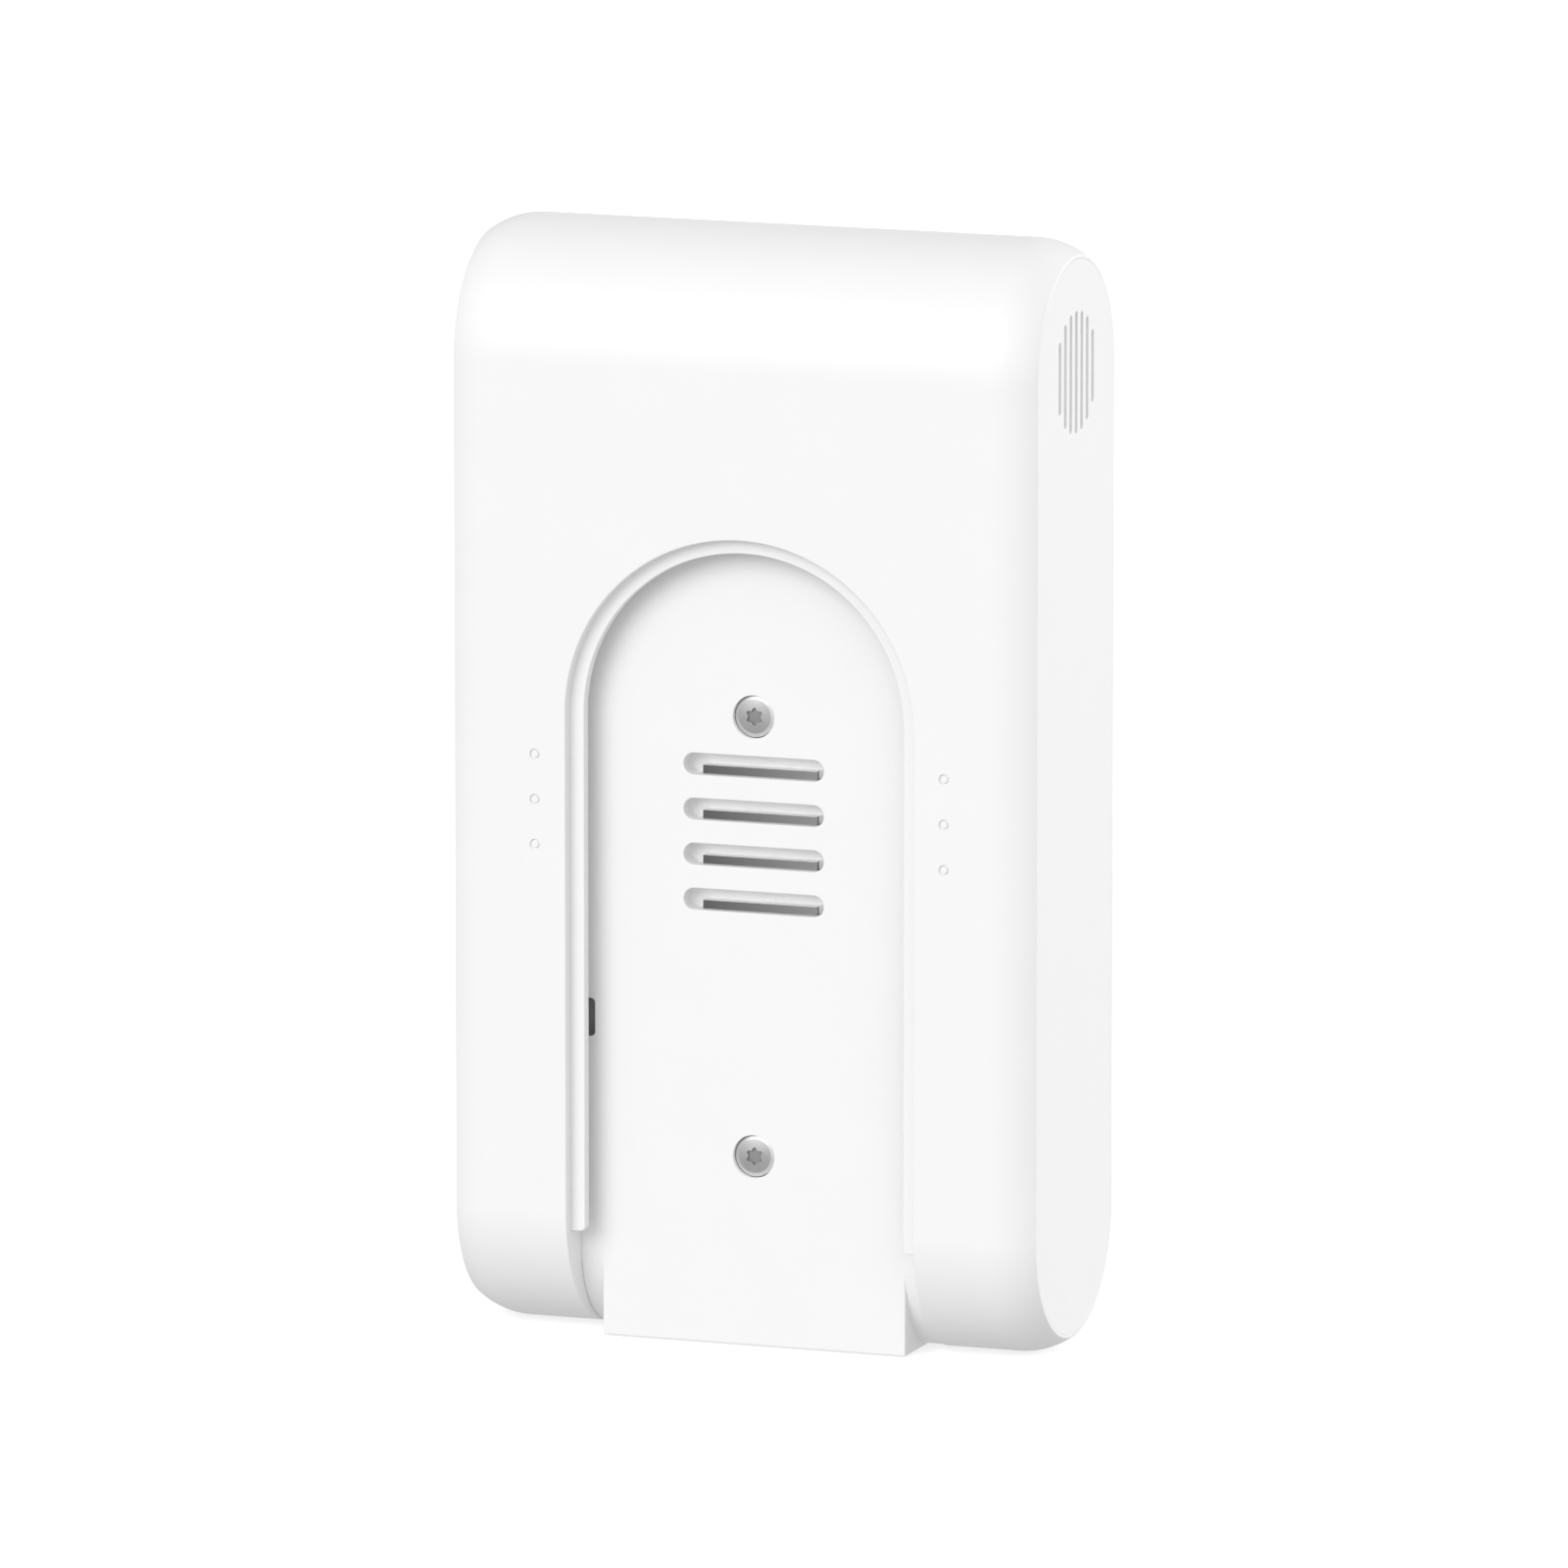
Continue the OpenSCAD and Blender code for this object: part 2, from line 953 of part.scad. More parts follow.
module foam_pads() {
    pad_half_w = 28;
    pad_half_h = 5;
    color(foam_grey)
        for (i = [2, 4, 6])
            block([-pad_half_w, cell_y + cell_r, cell_z(i) - pad_half_h],
                  [pad_half_w, inner_r - seam, cell_z(i) + pad_half_h]);
}

// ---------- charge lights ----------

module led_board() {
    half_l = light_bar_half + 1;
    half_h = 1.6;
    color(board_dark)
        block([-half_l, led_board_y, light_z - half_h],
              [half_l, led_board_y + led_board_t, light_z + half_h]);
}

module status_leds() {
    color("#F2E9C8")
        for (x = light_xs)
            block([x - led_size / 2, led_board_y + led_board_t, light_z - led_size / 2],
                  [x + led_size / 2, led_board_y + led_board_t + led_t, light_z + led_size / 2]);
}

module light_guide() {
    foot = 1;
    half_h = 1.5;
    color("#EDEFF0") {
        block([-light_bar_half, light_bar_y, light_z - half_h],
              [light_bar_half, inner_r - seam, light_z + half_h]);
        for (x = light_xs)
            rod_y(light_d, light_bar_y + over, end_r - light_sunk, x, light_z);
        both_sides()
            block([light_bar_half - foot, led_board_y + led_board_t, light_z - foot],
                  [light_bar_half, light_bar_y + seam, light_z + foot]);
    }
}

rear_shell();
front_shell();
side_cap_left();
side_cap_right();
dock_plate();
dock_screws();
terminal_block();
contact_blade(1);  // contact_blade_1
contact_blade(2);  // contact_blade_2
contact_blade(3);  // contact_blade_3
contact_blade(4);  // contact_blade_4
cell_holder_left();
cell_holder_right();
cross_bar(screw_zs[0]);  // cross_bar_upper
cross_bar(screw_zs[1]);  // cross_bar_lower
cell(1);  // cell_1
cell(2);  // cell_2
cell(3);  // cell_3
cell(4);  // cell_4
cell(5);  // cell_5
cell(6);  // cell_6
cell(7);  // cell_7
cell_insulators();
nickel_strips_left();
nickel_strips_right();
insulation_sheet_left();
insulation_sheet_right();
protection_board();
power_transistors();
controller_chip();
board_capacitors();
shunt_resistor();
sense_sockets();
board_screws();
positive_lead();
negative_lead();
sense_flex_left();
sense_flex_right();
thermistor();
foam_pads();
vent_filter_left();
vent_filter_right();
led_board();
status_leds();
light_guide();
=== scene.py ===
"""Looks of the slide-on battery pack: mouldings, screws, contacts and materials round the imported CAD"""

import json
import math

import bmesh
import bpy
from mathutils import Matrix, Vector


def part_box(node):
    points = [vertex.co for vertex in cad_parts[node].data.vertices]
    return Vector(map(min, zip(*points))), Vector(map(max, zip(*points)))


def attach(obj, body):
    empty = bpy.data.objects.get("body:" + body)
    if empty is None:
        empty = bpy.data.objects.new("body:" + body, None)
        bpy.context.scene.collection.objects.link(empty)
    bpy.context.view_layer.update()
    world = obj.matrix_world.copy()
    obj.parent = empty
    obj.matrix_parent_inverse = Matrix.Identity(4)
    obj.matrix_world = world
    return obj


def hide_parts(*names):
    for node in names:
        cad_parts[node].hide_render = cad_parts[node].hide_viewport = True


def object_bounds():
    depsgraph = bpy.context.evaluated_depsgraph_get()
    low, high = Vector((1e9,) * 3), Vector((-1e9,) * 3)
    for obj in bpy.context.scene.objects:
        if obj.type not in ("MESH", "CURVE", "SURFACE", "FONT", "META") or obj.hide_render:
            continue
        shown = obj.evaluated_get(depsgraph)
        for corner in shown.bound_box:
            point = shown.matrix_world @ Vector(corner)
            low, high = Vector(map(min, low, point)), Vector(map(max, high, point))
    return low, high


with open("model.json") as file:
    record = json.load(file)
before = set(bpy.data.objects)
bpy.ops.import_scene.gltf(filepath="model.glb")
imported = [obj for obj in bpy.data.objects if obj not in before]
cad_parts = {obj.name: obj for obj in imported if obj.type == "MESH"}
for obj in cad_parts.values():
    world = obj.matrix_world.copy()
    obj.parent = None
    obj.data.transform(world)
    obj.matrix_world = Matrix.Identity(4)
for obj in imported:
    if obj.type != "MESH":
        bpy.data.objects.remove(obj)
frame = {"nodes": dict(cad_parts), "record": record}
cad_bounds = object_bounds()

# ---------- sizes, in millimetres, in the row frame ----------

MM = 0.001


def box_mm(node):
    """Lowest and highest corner of a CAD node in millimetres"""
    low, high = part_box(node)
    return Vector(low) / MM, Vector(high) / MM


# Casing: round ends of radius END_R about two lines at END_Z and -END_Z
HALF_W, END_R, HALF_H = (side / MM for side in cad_bounds[1])
END_Z = HALF_H - END_R
WALL = 2
PARTING_ROUND = 0.12

# Gap between mouldings, reach of a cutter past a surface, shift that keeps faces from coinciding, and
# distance within which points are merged
SEAM = 0.05
OVER = 1
SLIP = 0.003
MERGE = 0.0005

# Edge roll of the casing: an arc of ROLL_R that runs in ROLL_RUN and drops ROLL_DROP
ROLL_RUN = 5.8
ROLL_DROP = 1.95
ROLL_R = (ROLL_RUN ** 2 + ROLL_DROP ** 2) / (2 * ROLL_DROP)
ROLL_X = HALF_W - ROLL_RUN
ROLL_CENTRE = END_R - ROLL_R
CREASE_ROUND = 0.22

# Side caps sit in an opening with a thin rim
cap_low, cap_high = box_mm("side_cap_right")
CAP_R = cap_high.y
CAP_LIP_L = 1.7
CAP_INNER_X = cap_low.x + CAP_LIP_L
CAP_LIP_R = 13
CAP_LIP_T = 1.3
CAP_GAP = 0.015
OPENING_R = CAP_R + CAP_GAP
CAP_ROUND = 0.02

# Dock recess, an arch open at the base
RECESS_HALF = 22.7
ARCH_Z = 9.7
RECESS_ROUND = 0.18
WALL_T = 1.6
plate_low, plate_high = box_mm("dock_plate")
FLOOR_Y = plate_low.y
FLOOR_R = -FLOOR_Y
FLOOR_END_Z = FLOOR_R - HALF_H
FLANGE_HALF = plate_high.x
FLANGE_END_Z = -60
PLATE_T = 2

# U-shaped rail in the recess
RAIL_INSET = 1.7
RAIL_Y = RAIL_INSET - END_R
RAIL_T = 1.5
RAIL_REACH = 1.85
RAIL_HALF = RECESS_HALF - RAIL_REACH
RAIL_ROOT = 0.5
RAIL_END_Z = -55.4
RAIL_ROUND = 0.15
RAIL_CORNER = 0.6

# Tongue
TONGUE_HALF = 19.85
TONGUE_LIFT = 0.2
TONGUE_LOW_Z = TONGUE_LIFT - HALF_H
TONGUE_WALL = 1.8
TONGUE_ROOT = 3.5
TONGUE_ROUND = 0.16
RIB_COUNT = 3
RIB_T = 1.4

# Contact blades: a tip in the dark, painted-reflection copy of the metal, and a slightly larger seat in the
# terminal block
blade_boxes = [box_mm(f"contact_blade_{i}") for i in range(1, 5)]
BLADE_ROUND = 0.05
BLADE_TIP = 0.8
SEAT_DEPTH = 2.7
SEAT_Y = FLOOR_Y + SEAT_DEPTH
SEAT_FILL = 0.04

# Contact slots, and latch pockets that run on under the recess wall
SLOT_L = 18.3
SLOT_H = 2.7
SLOT_RISE = 0.775
SLOT_ROUND = 0.14
POCKET_SHOWN = 1.8
POCKET_LOW_X = RECESS_HALF - SEAM - POCKET_SHOWN
POCKET_W = 3
POCKET_H = 4.8
POCKET_Z = -29.1
POCKET_CORNER = 0.6
POCKET_DEPTH = 2.6
POCKET_WALL = 0.8
POCKET_ROUND = 0.04

# Dock screws: a domed face in a beveled ring, with a six-lobe drive
screw_low, screw_high = box_mm("dock_screws")
HEAD_R = screw_high.x
SCREW_ZS = (screw_low.z + HEAD_R, screw_high.z - HEAD_R)
HEAD_Y = screw_low.y
HEAD_T = 1.5
FACE_R = 2.1
FACE_DOME = 0.17
FACE_STEP = 0.02
BEVEL_DEPTH = 0.35
BEVEL_EASE = 0.05
BEVEL_RISE = 0.03
BEVEL_FALL = 0.04
DRIVE_R = 1.3
DRIVE_MEAN_R = 0.96
DRIVE_SWING = 0.16
DRIVE_LOBES = 6
DRIVE_DEPTH = 0.3
DRIVE_ROUND = 0.01
SHANK_R = 1.2

# Counterbored pads under the dock screws
COUNTERBORE_R = 2.7
COUNTERBORE_ROUND = 0.05
SCREW_HOLE_R = 1.3
PAD_R = 4.3
PAD_Y = -7.55

# Columns of small ring grooves beside the recess
MARK_COUNT = 3
MARK_X = 26.7
MARK_TOP_Z = 4.4
MARK_PITCH = 5.63
MARK_R = 0.675
MARK_CORE_R = 0.425
MARK_DEPTH = 0.25
MARK_ROUND = 0.04

# Vent grille
VENT_R = 7.55
VENT_SLOTS = 7
VENT_PITCH = 2.03
VENT_SLOT_R = 0.45
VENT_ROUND = 0.08
filter_high = box_mm("vent_filter_right")[1]

# Charge lights at the front
guide_low, guide_high = box_mm("light_guide")
LIGHT_Z = (guide_low.z + guide_high.z) / 2
LIGHT_XS = (-6, 0, 6)
LIGHT_R = 0.9
LIGHT_HOLE_ROUND = 0.1
PIP_ROUND = 0.15
BAR_Y = 12.4
BAR_ROUND = 0.12
GUIDE_FOOT = 1

# Faces that get painted shade or painted light: distance allowed round a region, how far below the screw's
# face the drive starts, and the least part of a face's normal along y on the rail's underside and along z on
# a blade's side
NEAR = 0.02
DRIVE_LIP = 0.03
UNDER_NORMAL = 0.3
LEVEL_NORMAL = 0.6

# Steps of arcs, turned pieces and roundings, and angles in degrees that count as sharp
ARC_STEPS = 40
ARCH_STEPS = 120
PAST_BASE_STEPS = 2
TURN_STEPS = 64
SMALL_TURN_STEPS = 40
FINE_TURN_STEPS = 96
SLOT_STEPS = 12
VENT_STEPS = 8
CORNER_STEPS = 6
ROLL_STEPS = 14
CREASE_STEPS = 5
INNER_ROLL_STEPS = 4
DOME_STEPS = 8
ROUND_STEPS = 4
SMALL_ROUND_STEPS = 3
EDGE_ROUND_STEPS = 6
SOFTEN_ANGLE = 40
SHARP_ANGLE = 32

# ---------- outlines ----------


def arc(centre, radius, start, end, steps):
    """Points of an arc from start to end, in degrees, both ends included"""
    turns = [math.radians(start + (end - start) * i / steps) for i in range(steps + 1)]
    return [(centre[0] + radius * math.cos(t), centre[1] + radius * math.sin(t)) for t in turns]


def circle(radius, centre=(0, 0), steps=TURN_STEPS):
    """Circle without a doubled last point"""
    return arc(centre, radius, 0, 360 * (steps - 1) / steps, steps - 1)


def upright_stadium(radius, low, high, across=0, steps=ARC_STEPS):
    """Stadium round two centres, one above the other"""
    return arc((across, high), radius, 0, 180, 2 * steps) + arc((across, low), radius, 180, 360, 2 * steps)


def level_stadium(length, height, centre, grow):
    """Stadium that lies along its first coordinate, grown outward by grow"""
    reach = (length - height) / 2
    radius = height / 2 + grow
    right = arc((centre[0] + reach, centre[1]), radius, -90, 90, 2 * SLOT_STEPS)
    left = arc((centre[0] - reach, centre[1]), radius, 90, 270, 2 * SLOT_STEPS)
    return right + left


def round_rect(low, high, corner, grow):
    """Rectangle with round corners, grown outward by grow"""
    radius = corner + grow
    points = arc((high[0] - corner, high[1] - corner), radius, 0, 90, CORNER_STEPS)
    points += arc((low[0] + corner, high[1] - corner), radius, 90, 180, CORNER_STEPS)
    points += arc((low[0] + corner, low[1] + corner), radius, 180, 270, CORNER_STEPS)
    points += arc((high[0] - corner, low[1] + corner), radius, 270, 360, CORNER_STEPS)
    return points


def arch(half, low):
    """Arch with a flat foot at height low"""
    return [(half, low)] + arc((0, ARCH_Z), half, 0, 180, ARCH_STEPS) + [(-half, low)]


def drive_outline(centre, grow):
    """Six-lobe outline grown outward by grow, first lobe straight up"""
    points = []
    for i in range(FINE_TURN_STEPS):
        t = 2 * math.pi * i / FINE_TURN_STEPS
        radius = DRIVE_MEAN_R + grow + DRIVE_SWING * math.cos(DRIVE_LOBES * (t - math.pi / 2))
        points.append((centre[0] + radius * math.cos(t), centre[1] + radius * math.sin(t)))
    return points


def at_x(outline, x):
    """(y, z) outline placed at x"""
    return [(x, y, z) for y, z in outline]


def at_y(outline, y):
    """(x, z) outline placed at y"""
    return [(x, y, z) for x, z in outline]


# ---------- meshes ----------


def mesh_object(name, points, faces):
    """Mesh object from points in millimetres"""
    mesh = bpy.data.meshes.new(name)
    mesh.from_pydata([Vector(p) * MM for p in points], [], faces)
    work = bmesh.new()
    work.from_mesh(mesh)
    bmesh.ops.recalc_face_normals(work, faces=work.faces)
    work.to_mesh(mesh)
    work.free()
    piece = bpy.data.objects.new(name, mesh)
    bpy.context.collection.objects.link(piece)
    return piece


def loft(name, rings):
    """Joins equal rings with quads and caps both ends"""
    count = len(rings[0])
    last = (len(rings) - 1) * count
    points = [p for ring in rings for p in ring]
    faces = []
    for here in range(0, last, count):
        there = here + count
        for j in range(count):
            k = (j + 1) % count
            faces.append((here + j, here + k, there + k, there + j))
    faces.append(tuple(range(count)))
    faces.append(tuple(range(last, last + count)))
    return mesh_object(name, points, faces)


def prism_x(name, outline, x0, x1):
    """(y, z) outline drawn out along x"""
    return loft(name, [at_x(outline, x0), at_x(outline, x1)])


def prism_y(name, outline, y0, y1):
    """(x, z) outline drawn out along y"""
    return loft(name, [at_y(outline, y0), at_y(outline, y1)])


def block(name, low, high):
    """Box between two corners"""
    outline = [(low[0], low[2]), (high[0], low[2]), (high[0], high[2]), (low[0], high[2])]
    return prism_y(name, outline, low[1], high[1])


def revolve_y(name, profile, x, z, steps=TURN_STEPS):
    """Turned solid about a line along y. The profile is (radius, y), open at the axis."""
    return loft(name, [at_y(circle(radius, (x, z), steps), y) for radius, y in profile])


def rim(radius, steps=ROUND_STEPS):
    """(offset, depth) of a rounded rim, from the surface down the side"""
    turns = [math.pi / 2 * i / steps for i in range(steps + 1)]
    return [(radius * (1 - math.sin(t)), radius * (1 - math.cos(t))) for t in turns]


def flared(radius, depth):
    """(offset, depth) of a cut whose rim on the surface is rounded"""
    return [(radius, -OVER)] + [(offset, d - SLIP) for offset, d in rim(radius)] + [(0, depth)]


def combine(piece, tools, operation):
    """Applies a boolean with each tool in turn and deletes the tools"""
    for tool in tools:
        step = piece.modifiers.new("combine", "BOOLEAN")
        step.operation = operation
        step.solver = "MANIFOLD"
        step.object = tool
    apply_modifiers(piece)
    for tool in tools:
        bpy.data.objects.remove(tool)
    return piece


def apply_modifiers(piece):
    """Puts the modified mesh in place of the mesh and its modifiers"""
    bpy.context.view_layer.update()
    graph = bpy.context.evaluated_depsgraph_get()
    made = bpy.data.meshes.new_from_object(piece.evaluated_get(graph))
    piece.modifiers.clear()
    piece.data = made


def soften(piece, width):
    """Rounds the sharp edges of a simple solid"""
    bevel = piece.modifiers.new("soften", "BEVEL")
    bevel.width = width * MM
    bevel.segments = SMALL_ROUND_STEPS
    bevel.limit_method = "ANGLE"
    bevel.angle_limit = math.radians(SOFTEN_ANGLE)
    apply_modifiers(piece)
    return piece


def polish(piece):
    """Merges stray points and shades the surface smooth between real edges"""
    work = bmesh.new()
    work.from_mesh(piece.data)
    bmesh.ops.remove_doubles(work, verts=work.verts, dist=MERGE * MM)
    bmesh.ops.dissolve_degenerate(work, edges=work.edges, dist=MERGE * MM)
    bmesh.ops.recalc_face_normals(work, faces=work.faces)
    work.to_mesh(piece.data)
    work.free()
    piece.data.shade_smooth()
    piece.data.set_sharp_from_angle(angle=math.radians(SHARP_ANGLE))
    normals = piece.modifiers.new("normals", "WEIGHTED_NORMAL")
    normals.keep_sharp = True
    return piece


def mirrored(name, piece):
    """Copy of a right-hand piece for the left"""
    work = bmesh.new()
    work.from_mesh(piece.data)
    for vertex in work.verts:
        vertex.co.x = -vertex.co.x
    bmesh.ops.reverse_faces(work, faces=work.faces)
    mesh = bpy.data.meshes.new(name)
    work.to_mesh(mesh)
    work.free()
    copy = bpy.data.objects.new(name, mesh)
    bpy.context.collection.objects.link(copy)
    return copy


# ---------- casing shells ----------


def shell_section():
    """Closed section of a shell wall: (x, radius, outward x, outward radius)

    Points on the inside have no outward part.
    """
    crease_x = HALF_W - CREASE_ROUND
    crease_r = ROLL_CENTRE + math.sqrt((ROLL_R - CREASE_ROUND) ** 2 - (crease_x - ROLL_X) ** 2)
    turn = math.atan2(crease_x - ROLL_X, crease_r - ROLL_CENTRE)
    right = []
    for i in range(ROLL_STEPS + 1):
        t = turn * i / ROLL_STEPS
        right.append((ROLL_X + ROLL_R * math.sin(t), ROLL_CENTRE + ROLL_R * math.cos(t),
                      math.sin(t), math.cos(t)))
    for i in range(1, CREASE_STEPS + 1):
        t = turn + (math.pi / 2 - turn) * i / CREASE_STEPS
        right.append((crease_x + CREASE_ROUND * math.sin(t), crease_r + CREASE_ROUND * math.cos(t),
                      math.sin(t), math.cos(t)))
    for offset, depth in rim(CAP_ROUND, SMALL_ROUND_STEPS):
        right.append((HALF_W - depth, OPENING_R + offset, 0, 0))
    inner_roll = ROLL_R - WALL
    inner_turn = math.acos((OPENING_R - ROLL_CENTRE) / inner_roll)
    for i in range(INNER_ROLL_STEPS + 1):
        t = inner_turn * (1 - i / INNER_ROLL_STEPS)
        right.append((ROLL_X + inner_roll * math.sin(t), ROLL_CENTRE + inner_roll * math.cos(t), 0, 0))
    left = [(-x, radius, -out_x, out_r) for x, radius, out_x, out_r in reversed(right)]
    return right + left


def shell_ring(section, centre_z, angle, y_shift=0, inset=0):
    """Section at an angle from straight up, turning towards the dock side, drawn in by inset"""
    ring = []
    for x, radius, out_x, out_r in section:
        r = radius - inset * out_r
        ring.append((x - inset * out_x, -r * math.sin(angle) + y_shift, centre_z + r * math.cos(angle)))
    return ring


def half_shell(name, side):
    """One shell: side is 1 towards the dock, -1 towards the front"""
    section = shell_section()
    parting = rim(PARTING_ROUND, SMALL_ROUND_STEPS)
    rings = []
    for inset, depth in parting:
        rings.append(shell_ring(section, END_Z, 0, -side * (SEAM / 2 + depth), inset))
    for i in range(1, ARC_STEPS + 1):
        rings.append(shell_ring(section, END_Z, side * math.pi / 2 * i / ARC_STEPS))
    for i in range(ARC_STEPS):
        rings.append(shell_ring(section, -END_Z, side * math.pi / 2 * (1 + i / ARC_STEPS)))
    for inset, depth in reversed(parting):
        rings.append(shell_ring(section, -END_Z, math.pi, -side * (SEAM / 2 + depth), inset))
    return loft(name, rings)


def edge_path():
    """Arch edge on the casing: (point, direction into the recess, outward normal)"""
    path = []
    steps = ARC_STEPS + PAST_BASE_STEPS
    for i in range(steps + 1):
        t = math.pi / 2 * (steps - i) / ARC_STEPS
        point = Vector((RECESS_HALF, -END_R * math.cos(t), -END_Z - END_R * math.sin(t)))
        path.append((point, Vector((-1, 0, 0)), Vector((0, -math.cos(t), -math.sin(t)))))
    for i in range(ARCH_STEPS + 1):
        t = math.pi * i / ARCH_STEPS
        out = Vector((math.cos(t), 0, math.sin(t)))
        point = Vector((0, -END_R, ARCH_Z)) + RECESS_HALF * out
        path.append((point, -out, Vector((0, -1, 0))))
    for point, inward, normal in reversed(path[:steps + 1]):
        path.append((Vector((-point.x, point.y, point.z)), -inward, normal))
    return path


def edge_round_cutter():
    """Takes the sharp edge off the recess where it meets the casing"""
    r = RECESS_ROUND
    corner = [(-offset + SLIP, -depth + SLIP) for offset, depth in rim(r, EDGE_ROUND_STEPS)]
    corner += [(OVER, -r), (OVER, OVER), (-r, OVER)]
    rings = [[point + inward * u + normal * v for u, v in corner] for point, inward, normal in edge_path()]
    return loft("edge_round", rings)


def rail_solid():
    """U-shaped rail with rounded lips and rounded ends, rooted in the recess wall"""
    root = RECESS_HALF + RAIL_ROOT
    corner_centre = (RAIL_HALF + RAIL_CORNER, RAIL_END_Z + RAIL_CORNER)
    inner = arc(corner_centre, RAIL_CORNER, 270, 180, CORNER_STEPS)
    outline = [(root, RAIL_END_Z)] + arc((0, ARCH_Z), root, 0, 180, ARCH_STEPS) + [(-root, RAIL_END_Z)]
    outline += [(-x, z) for x, z in inner]
    outline += arc((0, ARCH_Z), RAIL_HALF, 180, 0, ARCH_STEPS)
    outline += list(reversed(inner))
    return soften(prism_y("rail", outline, RAIL_Y, RAIL_Y + RAIL_T), RAIL_ROUND)


def recess_wall():
    """Band round the recess, rooted inside the shell wall and ending on the dock plate"""
    y_end = -SEAM / 2
    band = prism_y("wall_band", arch(RECESS_HALF + WALL_T, -HALF_H), -END_R, y_end)
    inside = prism_x("wall_form", upright_stadium(END_R - WALL / 2, -END_Z, END_Z), -HALF_W, HALF_W)
    combine(band, [inside], "INTERSECT")
    floor = prism_x("wall_floor", upright_stadium(FLOOR_R + SEAM, FLOOR_END_Z, END_Z), -HALF_W, HALF_W)
    above = block("wall_above", (-HALF_W, -END_R, FLANGE_END_Z), (HALF_W, OVER, HALF_H))
    combine(floor, [above], "INTERSECT")
    inner_r = FLOOR_R - PLATE_T - 2 * SEAM
    behind = prism_x("wall_behind", upright_stadium(inner_r, FLOOR_END_Z, END_Z), -HALF_W, HALF_W)
    return combine(band, [floor, behind], "DIFFERENCE")


def ring_mark_cutters():
    """Small ring grooves with rounded edges"""
    cutters = []
    groove = [(MARK_R + offset, depth - END_R) for offset, depth in flared(MARK_ROUND, MARK_DEPTH)]
    core = [(MARK_CORE_R - offset, depth + SLIP - END_R) for offset, depth in rim(MARK_ROUND)]
    core.append((MARK_CORE_R, OVER - END_R))
    for i in range(MARK_COUNT):
        for side in (-1, 1):
            x = side * MARK_X
            z = MARK_TOP_Z - i * MARK_PITCH
            cutter = revolve_y("ring_mark", groove, x, z, SMALL_TURN_STEPS)
            middle = revolve_y("core", core, x, z, SMALL_TURN_STEPS)
            cutters.append(combine(cutter, [middle], "DIFFERENCE"))
    return cutters


def make_rear_shell():
    """Dock-side shell with the arch recess, its rail and the ring grooves"""
    shell = half_shell("rear_case", 1)
    combine(shell, [recess_wall()], "UNION")
    combine(shell, [prism_y("recess", arch(RECESS_HALF, -HALF_H - OVER), -END_R - OVER, OVER)], "DIFFERENCE")
    combine(shell, [rail_solid()], "UNION")
    combine(shell, [edge_round_cutter()] + ring_mark_cutters(), "DIFFERENCE")
    return polish(shell)


def finish_rail(shell, painted_shade):
    """Painted shade on the rail's underside: a darker grey where the rail hangs over the floor"""
    shell.data.materials.append(painted_shade)
    for face in shell.data.polygons:
        x, y, z = face.center / MM
        across = abs(x) if z < ARCH_Z else math.hypot(x, z - ARCH_Z)
        under = face.normal.y > UNDER_NORMAL and abs(y - RAIL_Y - RAIL_T) < RAIL_ROUND
        if under and across < RECESS_HALF:
            face.material_index = 1


def make_front_shell():
    """Front shell with three light holes"""
    shell = half_shell("front_case", -1)
    cutters = []
    profile = [(LIGHT_R + SEAM + offset, END_R - depth)
               for offset, depth in flared(LIGHT_HOLE_ROUND, WALL + OVER)]
    for x in LIGHT_XS:
        cutters.append(revolve_y("light_hole", profile, x, LIGHT_Z, SMALL_TURN_STEPS))
    combine(shell, cutters, "DIFFERENCE")
    return polish(shell)


# ---------- side caps ----------


def cap_outline(radius):
    """Upright stadium round the centres of the casing's ends"""
    return upright_stadium(radius, -END_Z, END_Z)


def vent_cutters():
    """Upright slots that fill a circle about the cap's upper centre"""
    cutters = []
    for i in range(VENT_SLOTS):
        y = (i - (VENT_SLOTS - 1) / 2) * VENT_PITCH
        reach = math.sqrt(VENT_R ** 2 - y ** 2) - VENT_SLOT_R
        rings = []
        for offset, depth in flared(VENT_ROUND, WALL + OVER):
            outline = upright_stadium(VENT_SLOT_R + offset, END_Z - reach, END_Z + reach, y, VENT_STEPS)
            rings.append(at_x(outline, HALF_W - depth))
        cutters.append(loft("vent_slot", rings))
    return cutters


def make_right_cap():
    """Side cap with a vent, a lip inside the shells and a seat for the filter"""
    rings = [at_x(cap_outline(CAP_R - offset), HALF_W - depth)
             for offset, depth in rim(CAP_ROUND, SMALL_ROUND_STEPS)]
    rings.append(at_x(cap_outline(CAP_R), CAP_INNER_X))
    cap = loft("side_cap_right_face", rings)
    lip = prism_x("lip", cap_outline(CAP_LIP_R), cap_low.x, CAP_INNER_X + OVER)
    bay = prism_x("lip_bay", cap_outline(CAP_LIP_R - CAP_LIP_T), cap_low.x - OVER, CAP_INNER_X)
    combine(cap, [lip], "UNION")
    combine(cap, [bay], "DIFFERENCE")
    pocket = [(y, z + END_Z) for y, z in circle(filter_high.y + SEAM, steps=FINE_TURN_STEPS)]
    filter_pocket = prism_x("filter_pocket", pocket, CAP_INNER_X - OVER, filter_high.x)
    return combine(cap, vent_cutters() + [filter_pocket], "DIFFERENCE")


# ---------- dock plate ----------


def slot_cutters():
    """Contact slots with rounded rims, each a little above the middle of its blade"""
    cutters = []
    for low, high in blade_boxes:
        z = (low.z + high.z) / 2 + SLOT_RISE
        rings = [at_y(level_stadium(SLOT_L, SLOT_H, (0, z), offset), FLOOR_Y + depth)
                 for offset, depth in flared(SLOT_ROUND, PLATE_T + OVER)]
        cutters.append(loft("slot", rings))
    return cutters


